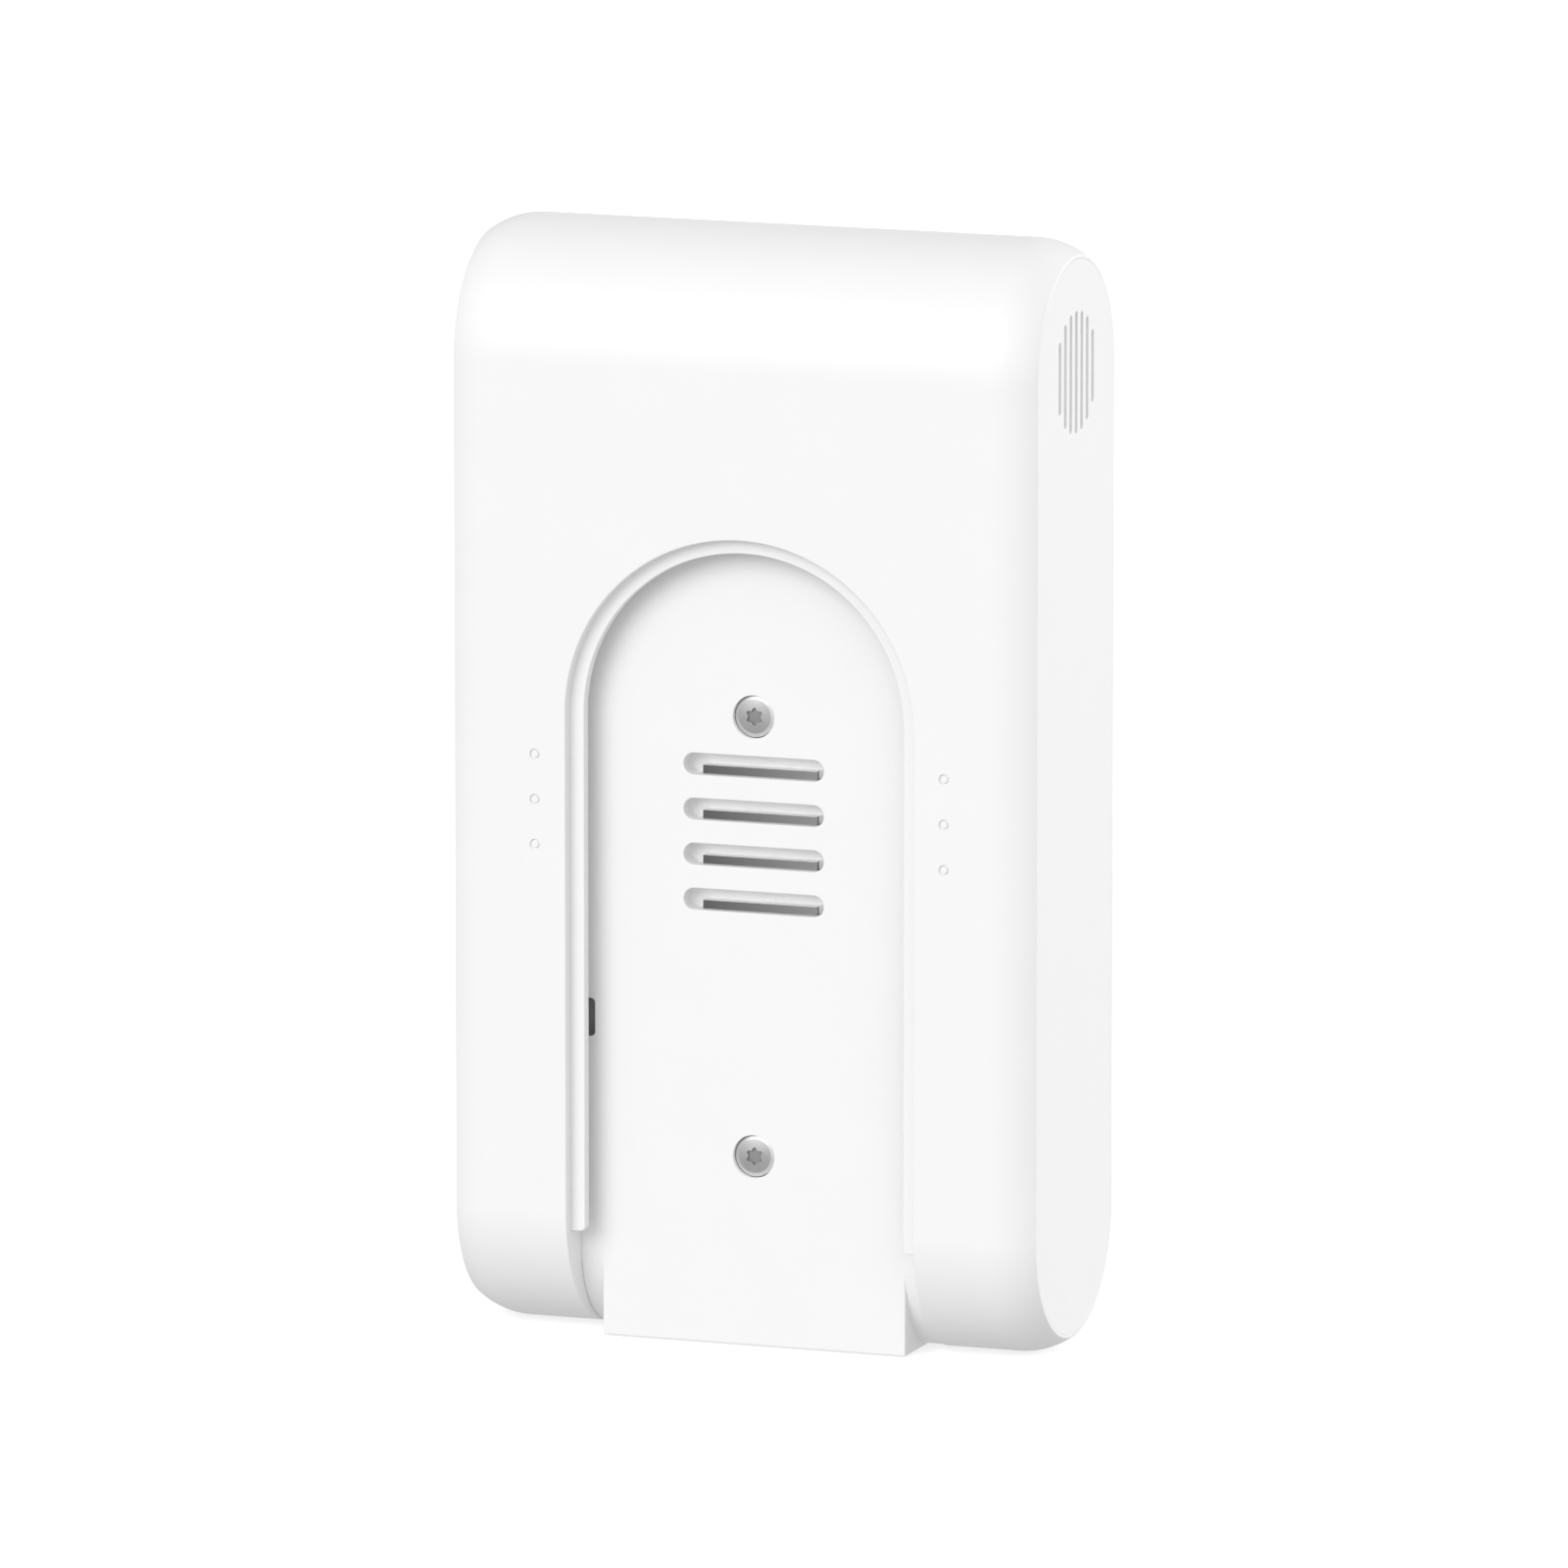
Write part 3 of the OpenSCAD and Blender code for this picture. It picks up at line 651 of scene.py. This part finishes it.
def pocket_cutters():
    """Blind latch pockets with rounded rims, one at each side"""
    cutters = []
    for side in (-1, 1):
        x0, x1 = sorted((side * POCKET_LOW_X, side * (POCKET_LOW_X + POCKET_W)))
        low = (x0, POCKET_Z - POCKET_H / 2)
        high = (x1, POCKET_Z + POCKET_H / 2)
        rings = [at_y(round_rect(low, high, POCKET_CORNER, offset), FLOOR_Y + depth)
                 for offset, depth in flared(POCKET_ROUND, POCKET_DEPTH)]
        cutters.append(loft("latch_pocket", rings))
    return cutters


def counterbore_cutters():
    """Seats of the screw heads, with the holes of the shanks"""
    depth_in = HEAD_Y - FLOOR_Y + HEAD_T
    bore = [(COUNTERBORE_R + offset, FLOOR_Y + depth)
            for offset, depth in flared(COUNTERBORE_ROUND, depth_in)]
    bore += [(SCREW_HOLE_R, bore[-1][1]), (SCREW_HOLE_R, OVER)]
    return [revolve_y("counterbore", bore, 0, z) for z in SCREW_ZS]


def make_dock_plate():
    """Recess floor that curves down to the base, with tongue, slots, latch pockets and screw seats"""
    top_z = ARCH_Z + FLANGE_HALF + OVER
    end_angle = 270 - math.degrees(math.asin(SEAM / 2 / FLOOR_R))
    outer = [(FLOOR_Y, top_z)] + arc((0, FLOOR_END_Z), FLOOR_R, 180, end_angle, ARC_STEPS)
    inner = arc((0, FLOOR_END_Z), FLOOR_R - PLATE_T, end_angle, 180, ARC_STEPS) + [(FLOOR_Y + PLATE_T, top_z)]
    plate = prism_x("dock_plate_face", outer + inner, -FLANGE_HALF, FLANGE_HALF)
    foot = RECESS_HALF - SEAM
    plan = [(foot, -HALF_H - OVER), (foot, FLANGE_END_Z), (FLANGE_HALF, FLANGE_END_Z)]
    plan += arc((0, ARCH_Z), FLANGE_HALF - SLIP, 0, 180, ARCH_STEPS)
    plan += [(-FLANGE_HALF, FLANGE_END_Z), (-foot, FLANGE_END_Z), (-foot, -HALF_H - OVER)]
    combine(plate, [prism_y("plan", plan, -END_R, OVER)], "INTERSECT")
    cups = [pocket_cup(-1), pocket_cup(1)]
    combine(plate, [make_tongue()] + cups + [screw_pad(z) for z in SCREW_ZS], "UNION")
    combine(plate, slot_cutters() + pocket_cutters() + counterbore_cutters(), "DIFFERENCE")
    return polish(plate)


def make_tongue():
    """Tongue below the plate, hollowed from behind between its ribs"""
    tongue = block("tongue", (-TONGUE_HALF, FLOOR_Y, TONGUE_LOW_Z), (TONGUE_HALF, -SEAM, FLOOR_END_Z + OVER))
    soften(tongue, TONGUE_ROUND)
    inner = upright_stadium(FLOOR_R - TONGUE_ROOT, FLOOR_END_Z, END_Z)
    cutters = [prism_x("tongue_bay", inner, -HALF_W, HALF_W)]
    bay = (2 * (TONGUE_HALF - TONGUE_WALL) - RIB_COUNT * RIB_T) / (RIB_COUNT + 1)
    for i in range(RIB_COUNT + 1):
        x = -TONGUE_HALF + TONGUE_WALL + i * (bay + RIB_T)
        low = (x, FLOOR_Y + TONGUE_WALL, TONGUE_LOW_Z + TONGUE_WALL)
        cutters.append(block("tongue_pocket", low, (x + bay, OVER, FLOOR_END_Z)))
    return combine(tongue, cutters, "DIFFERENCE")


def pocket_cup(side):
    """Blind cup behind the plate round a latch pocket"""
    x0, x1 = sorted((side * (POCKET_LOW_X - POCKET_WALL), side * (FLANGE_HALF - SLIP)))
    half_h = POCKET_H / 2 + POCKET_WALL
    low = (x0, FLOOR_Y + OVER, POCKET_Z - half_h)
    return block("cup", low, (x1, FLOOR_Y + POCKET_DEPTH + POCKET_WALL, POCKET_Z + half_h))


def screw_pad(z):
    """Thicker plate round a dock screw"""
    return revolve_y("pad", [(PAD_R, FLOOR_Y + OVER), (PAD_R, PAD_Y)], 0, z)


# ---------- screws, contacts, lights ----------


def screw(z):
    """Screw with a domed face, a beveled ring and a six-lobe drive"""
    profile = [(FACE_R * i / DOME_STEPS, HEAD_Y + FACE_DOME * (i / DOME_STEPS) ** 2)
               for i in range(1, DOME_STEPS + 1)]
    ring_y = HEAD_Y + BEVEL_DEPTH
    profile += [(FACE_R + FACE_STEP, HEAD_Y + FACE_DOME + FACE_STEP)]
    profile += [(HEAD_R - BEVEL_EASE, ring_y - BEVEL_RISE), (HEAD_R, ring_y + BEVEL_FALL)]
    profile += [(HEAD_R, HEAD_Y + HEAD_T), (SHANK_R, HEAD_Y + HEAD_T), (SHANK_R, screw_high.y)]
    piece = revolve_y("screw", profile, 0, z, FINE_TURN_STEPS)
    rings = [at_y(drive_outline((0, z), offset), HEAD_Y + depth)
             for offset, depth in flared(DRIVE_ROUND, DRIVE_DEPTH)]
    return combine(piece, [loft("drive", rings)], "DIFFERENCE")


def make_screws():
    """Both dock screws as one piece"""
    both = combine(screw(SCREW_ZS[0]), [screw(SCREW_ZS[1])], "UNION")
    both.name = "dock_screw_pair"
    return polish(both)


def finish_heads(piece, ring, drive):
    """Painted light on the heads: a lighter steel on the beveled ring round each face as a painted highlight,
    and a darker grey in the drive as painted shade
    """
    piece.data.materials.append(ring)
    piece.data.materials.append(drive)
    for face in piece.data.polygons:
        x, y, z = face.center / MM
        radius = min(math.hypot(x, z - screw_z) for screw_z in SCREW_ZS)
        depth = y - HEAD_Y
        drive_start = FACE_DOME * (radius / FACE_R) ** 2 + DRIVE_LIP
        if radius > FACE_R and depth < BEVEL_DEPTH + NEAR:
            face.material_index = 1
        elif radius < DRIVE_R and drive_start < depth < DRIVE_DEPTH + NEAR:
            face.material_index = 2


def make_blade(number, low, high):
    """Blade with eased edges that fills its slit where it leaves the terminal block"""
    corners = [(low.x, low.z), (high.x, low.z), (high.x, high.z), (low.x, high.z)]
    blade = loft(f"blade_{number}", [at_y(corners, y) for y in (low.y, low.y + BLADE_TIP, high.y)])
    soften(blade, BLADE_ROUND)
    fill = Vector((SEAT_FILL, 0, SEAT_FILL))
    seat_low = Vector((low.x, SEAT_Y, low.z)) - fill
    seat_high = Vector((high.x, SEAT_Y + OVER, high.z)) + fill
    return polish(combine(blade, [block("seat", seat_low, seat_high)], "UNION"))


def finish_blade(blade, tip_y, painted_bright):
    """Painted reflection on a blade: the broad sides and the part behind the tip get a bright copy of the
    metal, while the front edge and end tips keep the dark copy
    """
    blade.data.materials.append(painted_bright)
    for face in blade.data.polygons:
        if face.center.y / MM > tip_y or abs(face.normal.z) > LEVEL_NORMAL:
            face.material_index = 1


def finish_pockets(plate, painted_shade):
    """Painted shade inside the two latch pockets: a darker grey on their faces"""
    plate.data.materials.append(painted_shade)
    for face in plate.data.polygons:
        x, y, z = face.center / MM
        inside = abs(x) > POCKET_LOW_X - NEAR and abs(z - POCKET_Z) < POCKET_H / 2 + NEAR
        if inside and FLOOR_Y + POCKET_ROUND < y < FLOOR_Y + POCKET_DEPTH + NEAR:
            face.material_index = 1


def make_light_guide():
    """Bar with a pip in each light hole and a foot at each end"""
    bar_low = (guide_low.x, BAR_Y, guide_low.z)
    bar_high = (guide_high.x, END_R - WALL - SEAM, guide_high.z)
    bar = soften(block("light_bar", bar_low, bar_high), BAR_ROUND)
    profile = [(LIGHT_R, BAR_Y + OVER)]
    profile += [(LIGHT_R - offset, guide_high.y - depth) for offset, depth in reversed(rim(PIP_ROUND))]
    parts = [revolve_y("pip", profile, x, LIGHT_Z, SMALL_TURN_STEPS) for x in LIGHT_XS]
    for side in (-1, 1):
        x0, x1 = sorted((side * (guide_high.x - GUIDE_FOOT), side * guide_high.x))
        foot_low = (x0, guide_low.y, LIGHT_Z - GUIDE_FOOT)
        parts.append(block("foot", foot_low, (x1, BAR_Y + SEAM, LIGHT_Z + GUIDE_FOOT)))
    combine(bar, parts, "UNION")
    return polish(bar)


# ---------- materials ----------

# Noise keeps mostly between these values. Fine noise has more detail than slow noise.
NOISE_LOW = 0.3
NOISE_HIGH = 0.7
SLOW_DETAIL = 2.0
FINE_DETAIL = 3.0

# Scale of the coordinates along the axis that a rolled or rubbed grain is drawn out on
DRAWN_OUT = 0.08

# Plated metals: grain, mottle and height of the relief in millimetres
PLATING_GRAIN = 0.12
PLATING_MOTTLE = 1.4
PLATING_RELIEF = 0.002
PLATING_ROUGH = (0.4, 0.5)
PLATING_VARIATION = 0.06
CONTACT_GRAIN = 0.15
CONTACT_RELIEF = 0.006
CONTACT_ROUGH = (0.4, 0.52)

# Filter cloth and foam: size and height of the relief in millimetres
THREAD_SIZE = 7
THREAD_WANDER = 0.4
THREAD_RELIEF = 0.05
THREAD_ROUGH = (0.7, 0.9)
THREAD_VARIATION = 0.12
CELL_SIZE = 0.5
CELL_RELIEF = 0.2
CELL_ROUGH = (0.8, 0.98)
CELL_VARIATION = 0.35

# Light guide
GUIDE_TRANSMISSION = 0.55
GUIDE_IOR = 1.5


def new_material(name):
    """Material with its nodes, its links and its shader"""
    material = bpy.data.materials.new(name)
    material.use_nodes = True
    nodes = material.node_tree.nodes
    return material, nodes, material.node_tree.links, nodes["Principled BSDF"]


def place_coordinates(nodes, links, stretch=(1, 1, 1)):
    """Object coordinates in metres, stretched per axis"""
    source = nodes.new("ShaderNodeTexCoord")
    mapping = nodes.new("ShaderNodeMapping")
    mapping.inputs["Scale"].default_value = stretch
    links.new(source.outputs["Object"], mapping.inputs["Vector"])
    return mapping.outputs["Vector"]


def noise(nodes, links, vector, size_mm, detail=SLOW_DETAIL):
    """Noise whose features are about size_mm across"""
    texture = nodes.new("ShaderNodeTexNoise")
    texture.inputs["Scale"].default_value = 1 / (size_mm * MM)
    texture.inputs["Detail"].default_value = detail
    links.new(vector, texture.inputs["Vector"])
    return texture.outputs["Fac"]


def spread(nodes, links, value, low, high):
    """Maps a value of the noise's range to another range"""
    mapper = nodes.new("ShaderNodeMapRange")
    mapper.inputs["From Min"].default_value = NOISE_LOW
    mapper.inputs["From Max"].default_value = NOISE_HIGH
    mapper.inputs["To Min"].default_value = low
    mapper.inputs["To Max"].default_value = high
    links.new(value, mapper.inputs["Value"])
    return mapper.outputs["Result"]


def tint(nodes, links, value, dark, light):
    """Colour that varies between two shades"""
    ramp = nodes.new("ShaderNodeValToRGB")
    ramp.color_ramp.elements[0].position = NOISE_LOW
    ramp.color_ramp.elements[1].position = NOISE_HIGH
    ramp.color_ramp.elements[0].color = (*dark, 1)
    ramp.color_ramp.elements[1].color = (*light, 1)
    links.new(value, ramp.inputs["Fac"])
    return ramp.outputs["Color"]


def bump(nodes, links, shader, height, depth_mm):
    """Relief of depth_mm on the shader's normal"""
    relief = nodes.new("ShaderNodeBump")
    relief.inputs["Strength"].default_value = 1.0
    relief.inputs["Distance"].default_value = depth_mm * MM
    links.new(height, relief.inputs["Height"])
    links.new(relief.outputs["Normal"], shader.inputs["Normal"])


def shades(colour, variation):
    """Darker and lighter shade of a colour"""
    return tuple(c * (1 - variation) for c in colour), tuple(min(1, c * (1 + variation)) for c in colour)


def surface(name, colour, rough, grain_mm, relief_mm, variation=0.01, mottle_mm=9, metallic=0.0, coat=0.0,
            stretch=(1, 1, 1)):
    """Moulded, cast or rolled finish: slow colour mottling, fine grain in the roughness and the relief"""
    material, nodes, links, shader = new_material(name)
    vector = place_coordinates(nodes, links, stretch)
    slow = noise(nodes, links, vector, mottle_mm)
    fine = noise(nodes, links, vector, grain_mm, FINE_DETAIL)
    links.new(tint(nodes, links, slow, *shades(colour, variation)), shader.inputs["Base Color"])
    links.new(spread(nodes, links, fine, *rough), shader.inputs["Roughness"])
    shader.inputs["Metallic"].default_value = metallic
    shader.inputs["Coat Weight"].default_value = coat
    bump(nodes, links, shader, fine, relief_mm)
    return material


def plated_steel(name, colour, metallic=1.0):
    """Screw steel with a fine, slightly uneven plating"""
    material, nodes, links, shader = new_material(name)
    vector = place_coordinates(nodes, links)
    fine = noise(nodes, links, vector, PLATING_GRAIN, FINE_DETAIL)
    broad = noise(nodes, links, vector, PLATING_MOTTLE)
    tinted = tint(nodes, links, broad, *shades(colour, PLATING_VARIATION))
    links.new(tinted, shader.inputs["Base Color"])
    links.new(spread(nodes, links, fine, *PLATING_ROUGH), shader.inputs["Roughness"])
    shader.inputs["Metallic"].default_value = metallic
    bump(nodes, links, shader, fine, PLATING_RELIEF)
    return material


def reflection_graded_contact(name, dark_reflection, light_reflection, low_x, high_x):
    """Dark metal that gets lighter from low_x to high_x: painted reflection, standing in for the dark
    reflection on the blades' fronts and its lighter end
    """
    material, nodes, links, shader = new_material(name)
    split = nodes.new("ShaderNodeSeparateXYZ")
    links.new(place_coordinates(nodes, links), split.inputs["Vector"])
    along = nodes.new("ShaderNodeMapRange")
    along.inputs["From Min"].default_value = low_x * MM
    along.inputs["From Max"].default_value = high_x * MM
    along.inputs["To Min"].default_value = NOISE_LOW
    along.inputs["To Max"].default_value = NOISE_HIGH
    links.new(split.outputs["X"], along.inputs["Value"])
    links.new(tint(nodes, links, along.outputs["Result"], dark_reflection, light_reflection), shader.inputs["Base Color"])
    rubbed = place_coordinates(nodes, links, (DRAWN_OUT, 1, 1))
    fine = noise(nodes, links, rubbed, CONTACT_GRAIN, FINE_DETAIL)
    links.new(spread(nodes, links, fine, *CONTACT_ROUGH), shader.inputs["Roughness"])
    shader.inputs["Metallic"].default_value = 1.0
    bump(nodes, links, shader, fine, CONTACT_RELIEF)
    return material


def woven_mesh(name, colour):
    """Fine filter cloth: two crossed sets of threads"""
    material, nodes, links, shader = new_material(name)
    vector = place_coordinates(nodes, links)
    waves = []
    for direction in ("Y", "Z"):
        wave = nodes.new("ShaderNodeTexWave")
        wave.bands_direction = direction
        wave.inputs["Scale"].default_value = 1 / (THREAD_SIZE * MM)
        wave.inputs["Distortion"].default_value = THREAD_WANDER
        links.new(vector, wave.inputs["Vector"])
        waves.append(wave.outputs["Fac"])
    crossed = nodes.new("ShaderNodeMath")
    crossed.operation = "MAXIMUM"
    links.new(waves[0], crossed.inputs[0])
    links.new(waves[1], crossed.inputs[1])
    threads = crossed.outputs["Value"]
    tinted = tint(nodes, links, threads, *shades(colour, THREAD_VARIATION))
    links.new(tinted, shader.inputs["Base Color"])
    links.new(spread(nodes, links, threads, *THREAD_ROUGH), shader.inputs["Roughness"])
    bump(nodes, links, shader, threads, THREAD_RELIEF)
    return material


def cellular_foam(name, colour):
    """Open-cell foam"""
    material, nodes, links, shader = new_material(name)
    vector = place_coordinates(nodes, links)
    pores = nodes.new("ShaderNodeTexVoronoi")
    pores.inputs["Scale"].default_value = 1 / (CELL_SIZE * MM)
    links.new(vector, pores.inputs["Vector"])
    cells = pores.outputs["Distance"]
    links.new(tint(nodes, links, cells, *shades(colour, CELL_VARIATION)), shader.inputs["Base Color"])
    links.new(spread(nodes, links, cells, *CELL_ROUGH), shader.inputs["Roughness"])
    bump(nodes, links, shader, cells, CELL_RELIEF)
    return material


def frosted_guide(name):
    """Light guide that lets some light through"""
    material = surface(name, (0.86, 0.88, 0.89), (0.12, 0.2), 0.4, 0.004, coat=0.3)
    shader = material.node_tree.nodes["Principled BSDF"]
    shader.inputs["Transmission Weight"].default_value = GUIDE_TRANSMISSION
    shader.inputs["IOR"].default_value = GUIDE_IOR
    return material


def grey(level):
    """Neutral colour"""
    return level, level, level


def make_materials():
    """Finished materials by name: one for each slot of the record, and four that paint light and shade: two
    painted shades, a painted reflection and a painted highlight

    The numbers after a colour are the range of roughness, the size of the grain and its height in
    millimetres, how much the colour varies, and over how many millimetres. In the coated finishes, the
    weight of the clear coat comes before the colour.
    """
    finishes = {
        "case_white": (grey(0.845), (0.42, 0.5), 0.22, 0.003, 0.004),
        "dock_white": (grey(0.85), (0.44, 0.52), 0.22, 0.003, 0.004),
        # painted light: the terminal block is whiter than the casing, standing in for light that reaches its
        # shaded pockets in the slots
        "block_white": ((0.93, 0.93, 0.925), (0.5, 0.6), 0.25, 0.006, 0.02),
        # painted shade: a darker grey for the faces under the rails and inside the latch pockets
        "painted_undercut_shade": (grey(0.5), (0.5, 0.6), 0.25, 0.006, 0.02),
        "holder_black": ((0.03, 0.03, 0.035), (0.55, 0.7), 0.3, 0.01, 0.1),
        "insulator_paper": ((0.52, 0.56, 0.42), (0.8, 0.92), 0.15, 0.015, 0.08, 1.2),
        "board_dark": ((0.012, 0.03, 0.024), (0.3, 0.42), 0.4, 0.004, 0.15, 3),
        "chip_black": ((0.012, 0.012, 0.013), (0.5, 0.62), 0.12, 0.006, 0.1),
        "capacitor_tan": ((0.45, 0.28, 0.14), (0.4, 0.52), 0.15, 0.004, 0.05),
        "socket_ivory": ((0.78, 0.74, 0.66), (0.4, 0.5), 0.25, 0.005, 0.03),
        "lead_red": ((0.45, 0.02, 0.015), (0.42, 0.52), 0.3, 0.006, 0.06),
        "lead_black": ((0.015, 0.015, 0.016), (0.42, 0.52), 0.3, 0.006, 0.06),
        "bead_green": ((0.03, 0.08, 0.035), (0.2, 0.32), 0.4, 0.005, 0.08),
    }
    coated = {
        "cell_sleeve": (0.4, (0.05, 0.16, 0.38), (0.22, 0.3), 0.8, 0.006, 0.05),
        "flex_amber": (0.3, (0.56, 0.25, 0.05), (0.2, 0.3), 0.6, 0.003, 0.06),
        "led_cream": (0.3, (0.85, 0.8, 0.58), (0.2, 0.3), 0.2, 0.003, 0.02),
    }
    made = {name: surface(name, *finish) for name, finish in finishes.items()}
    for name, (coat, *finish) in coated.items():
        made[name] = surface(name, *finish, coat=coat)
    made["nickel"] = surface("nickel", (0.58, 0.56, 0.52), (0.25, 0.38), 0.12, 0.004, 0.04, metallic=1.0,
                             stretch=(1, 1, DRAWN_OUT))
    # painted reflection: a bright copy of the contact metal for the blades' broad sides
    made["contact_painted_bright"] = surface("contact_painted_bright", grey(0.9), (0.45, 0.5), 0.15, 0.0005, 0.01, 2,
                                     metallic=1.0)
    # painted reflection: the blades' contact metal is dark and lighter towards +x, standing in for the
    # reflections on their fronts
    blade_low, blade_high = blade_boxes[0]
    made["contact_metal"] = reflection_graded_contact("contact_metal", (0.13, 0.13, 0.135), (0.3, 0.3, 0.305),
                                         blade_low.x, blade_high.x)
    made["screw_steel"] = plated_steel("screw_steel", (0.47, 0.47, 0.475))
    # painted highlight: a lighter steel for the beveled rings of the screw heads
    made["screw_ring_highlight"] = plated_steel("screw_ring_highlight", grey(0.76))
    # painted shade: a darker grey, not metal, for the screw drives
    made["screw_drive_shade"] = plated_steel("screw_drive_shade", (0.25, 0.25, 0.255), metallic=0.0)
    made["foam_grey"] = cellular_foam("foam_grey", (0.09, 0.09, 0.095))
    made["filter_mesh"] = woven_mesh("filter_mesh", (0.62, 0.62, 0.615))
    made["guide_clear"] = frosted_guide("guide_clear")
    return made


def dress(piece, material):
    """Makes a material the only one of a finished piece"""
    piece.data.materials.clear()
    piece.data.materials.append(material)


def dress_node(node, material):
    """Gives a CAD node its material without touching its mesh"""
    for entry in node.material_slots:
        entry.link = "OBJECT"
        entry.material = material


# ---------- the model ----------

materials = make_materials()
slot_of = {part["node"]: part["material_slot"] for part in frame["record"]["subparts"]}
for node_name, node in frame["nodes"].items():
    dress_node(node, materials[slot_of[node_name]])


def add_piece(piece, node_name):
    """Puts a finished piece in the place of its CAD node"""
    dress(piece, materials[slot_of[node_name]])
    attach(piece, "root")
    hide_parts(node_name)


right_cap = make_right_cap()
left_cap = mirrored("side_cap_left_face", right_cap)
add_piece(polish(right_cap), "side_cap_right")
add_piece(polish(left_cap), "side_cap_left")
rear = make_rear_shell()
add_piece(rear, "rear_shell")
finish_rail(rear, materials["painted_undercut_shade"])
add_piece(make_front_shell(), "front_shell")
plate = make_dock_plate()
add_piece(plate, "dock_plate")
finish_pockets(plate, materials["painted_undercut_shade"])
screws = make_screws()
add_piece(screws, "dock_screws")
finish_heads(screws, materials["screw_ring_highlight"], materials["screw_drive_shade"])
for number, (blade_low, blade_high) in enumerate(blade_boxes, 1):
    blade = make_blade(number, blade_low, blade_high)
    add_piece(blade, f"contact_blade_{number}")
    finish_blade(blade, blade_low.y + BLADE_TIP, materials["contact_painted_bright"])
add_piece(make_light_guide(), "light_guide")

# ---------- floor, light and camera ----------

# Half the floor's side in metres, the size of its mottling in millimetres, and its own glow
FLOOR_HALF = 8
FLOOR_MOTTLE = 400
FLOOR_GLOW = 0.42

# Strength of the surroundings, and distance of the lamps in metres
WORLD_STRENGTH = 0.62
LAMP_DISTANCE = 2

# Name, azimuth, elevation and width of each lamp in degrees, and its strength
LAMPS = (
    ("key", -18, 27, 40, 1.453),
    ("fill", 35, 20, 60, 0.423),
    ("side", 138, 10, 30, 1.915),
)

# Camera: azimuth and elevation in degrees, distance, aim and far end in metres, and lens and sensor in
# millimetres
CAMERA_AZIMUTH = 20.01
CAMERA_ELEVATION = 9.97
CAMERA_DISTANCE = 2.1266
CAMERA_AIM = Vector((0, 0, -0.00042))
CAMERA_LENS = 395.7
SENSOR_W = 36
CLIP_END = 50


def make_floor():
    """Pale floor under the pack that is lit evenly and adds no light to it"""
    half = FLOOR_HALF / MM
    corners = [(-half, -half), (half, -half), (half, half), (-half, half)]
    floor = mesh_object("floor", [(x, y, -HALF_H) for x, y in corners], [(0, 1, 2, 3)])
    material, nodes, links, shader = new_material("floor")
    vector = place_coordinates(nodes, links)
    slow = noise(nodes, links, vector, FLOOR_MOTTLE)
    links.new(tint(nodes, links, slow, grey(0.78), grey(0.8)), shader.inputs["Base Color"])
    shader.inputs["Roughness"].default_value = 1.0
    shader.inputs["Specular IOR Level"].default_value = 0.0
    shader.inputs["Emission Color"].default_value = (1, 1, 1, 1)
    shader.inputs["Emission Strength"].default_value = FLOOR_GLOW
    floor.data.materials.append(material)
    floor.visible_diffuse = False
    floor.visible_glossy = False


def towards(azimuth, elevation):
    """Unit vector from the object. Azimuth 0 is in front of the dock side, positive towards +X."""
    az = math.radians(azimuth)
    el = math.radians(elevation)
    return Vector((math.sin(az) * math.cos(el), -math.cos(az) * math.cos(el), math.sin(el)))


def soft_light(name, azimuth, elevation, width, strength):
    """Even light from a wide source far away"""
    way = towards(azimuth, elevation)
    data = bpy.data.lights.new(name, "SUN")
    data.angle = math.radians(width)
    data.energy = strength
    lamp = bpy.data.objects.new(name, data)
    lamp.location = way * LAMP_DISTANCE
    lamp.rotation_euler = way.to_track_quat("Z", "Y").to_euler()
    bpy.context.collection.objects.link(lamp)


def make_world(strength):
    """Even white surroundings"""
    world = bpy.data.worlds.new("studio")
    world.use_nodes = True
    background = world.node_tree.nodes["Background"]
    background.inputs["Color"].default_value = (1, 1, 1, 1)
    background.inputs["Strength"].default_value = strength
    bpy.context.scene.world = world


def make_camera():
    """Long lens from above and to the right of the dock side"""
    data = bpy.data.cameras.new("camera")
    data.sensor_width = SENSOR_W
    data.lens = CAMERA_LENS
    data.clip_end = CLIP_END
    camera = bpy.data.objects.new("camera", data)
    camera.location = towards(CAMERA_AZIMUTH, CAMERA_ELEVATION) * CAMERA_DISTANCE
    camera.rotation_euler = (camera.location - CAMERA_AIM).to_track_quat("Z", "Y").to_euler()
    bpy.context.collection.objects.link(camera)
    bpy.context.scene.camera = camera


make_floor()
make_world(WORLD_STRENGTH)
for lamp in LAMPS:
    soft_light(*lamp)
make_camera()
bpy.context.scene.view_settings.view_transform = "Standard"
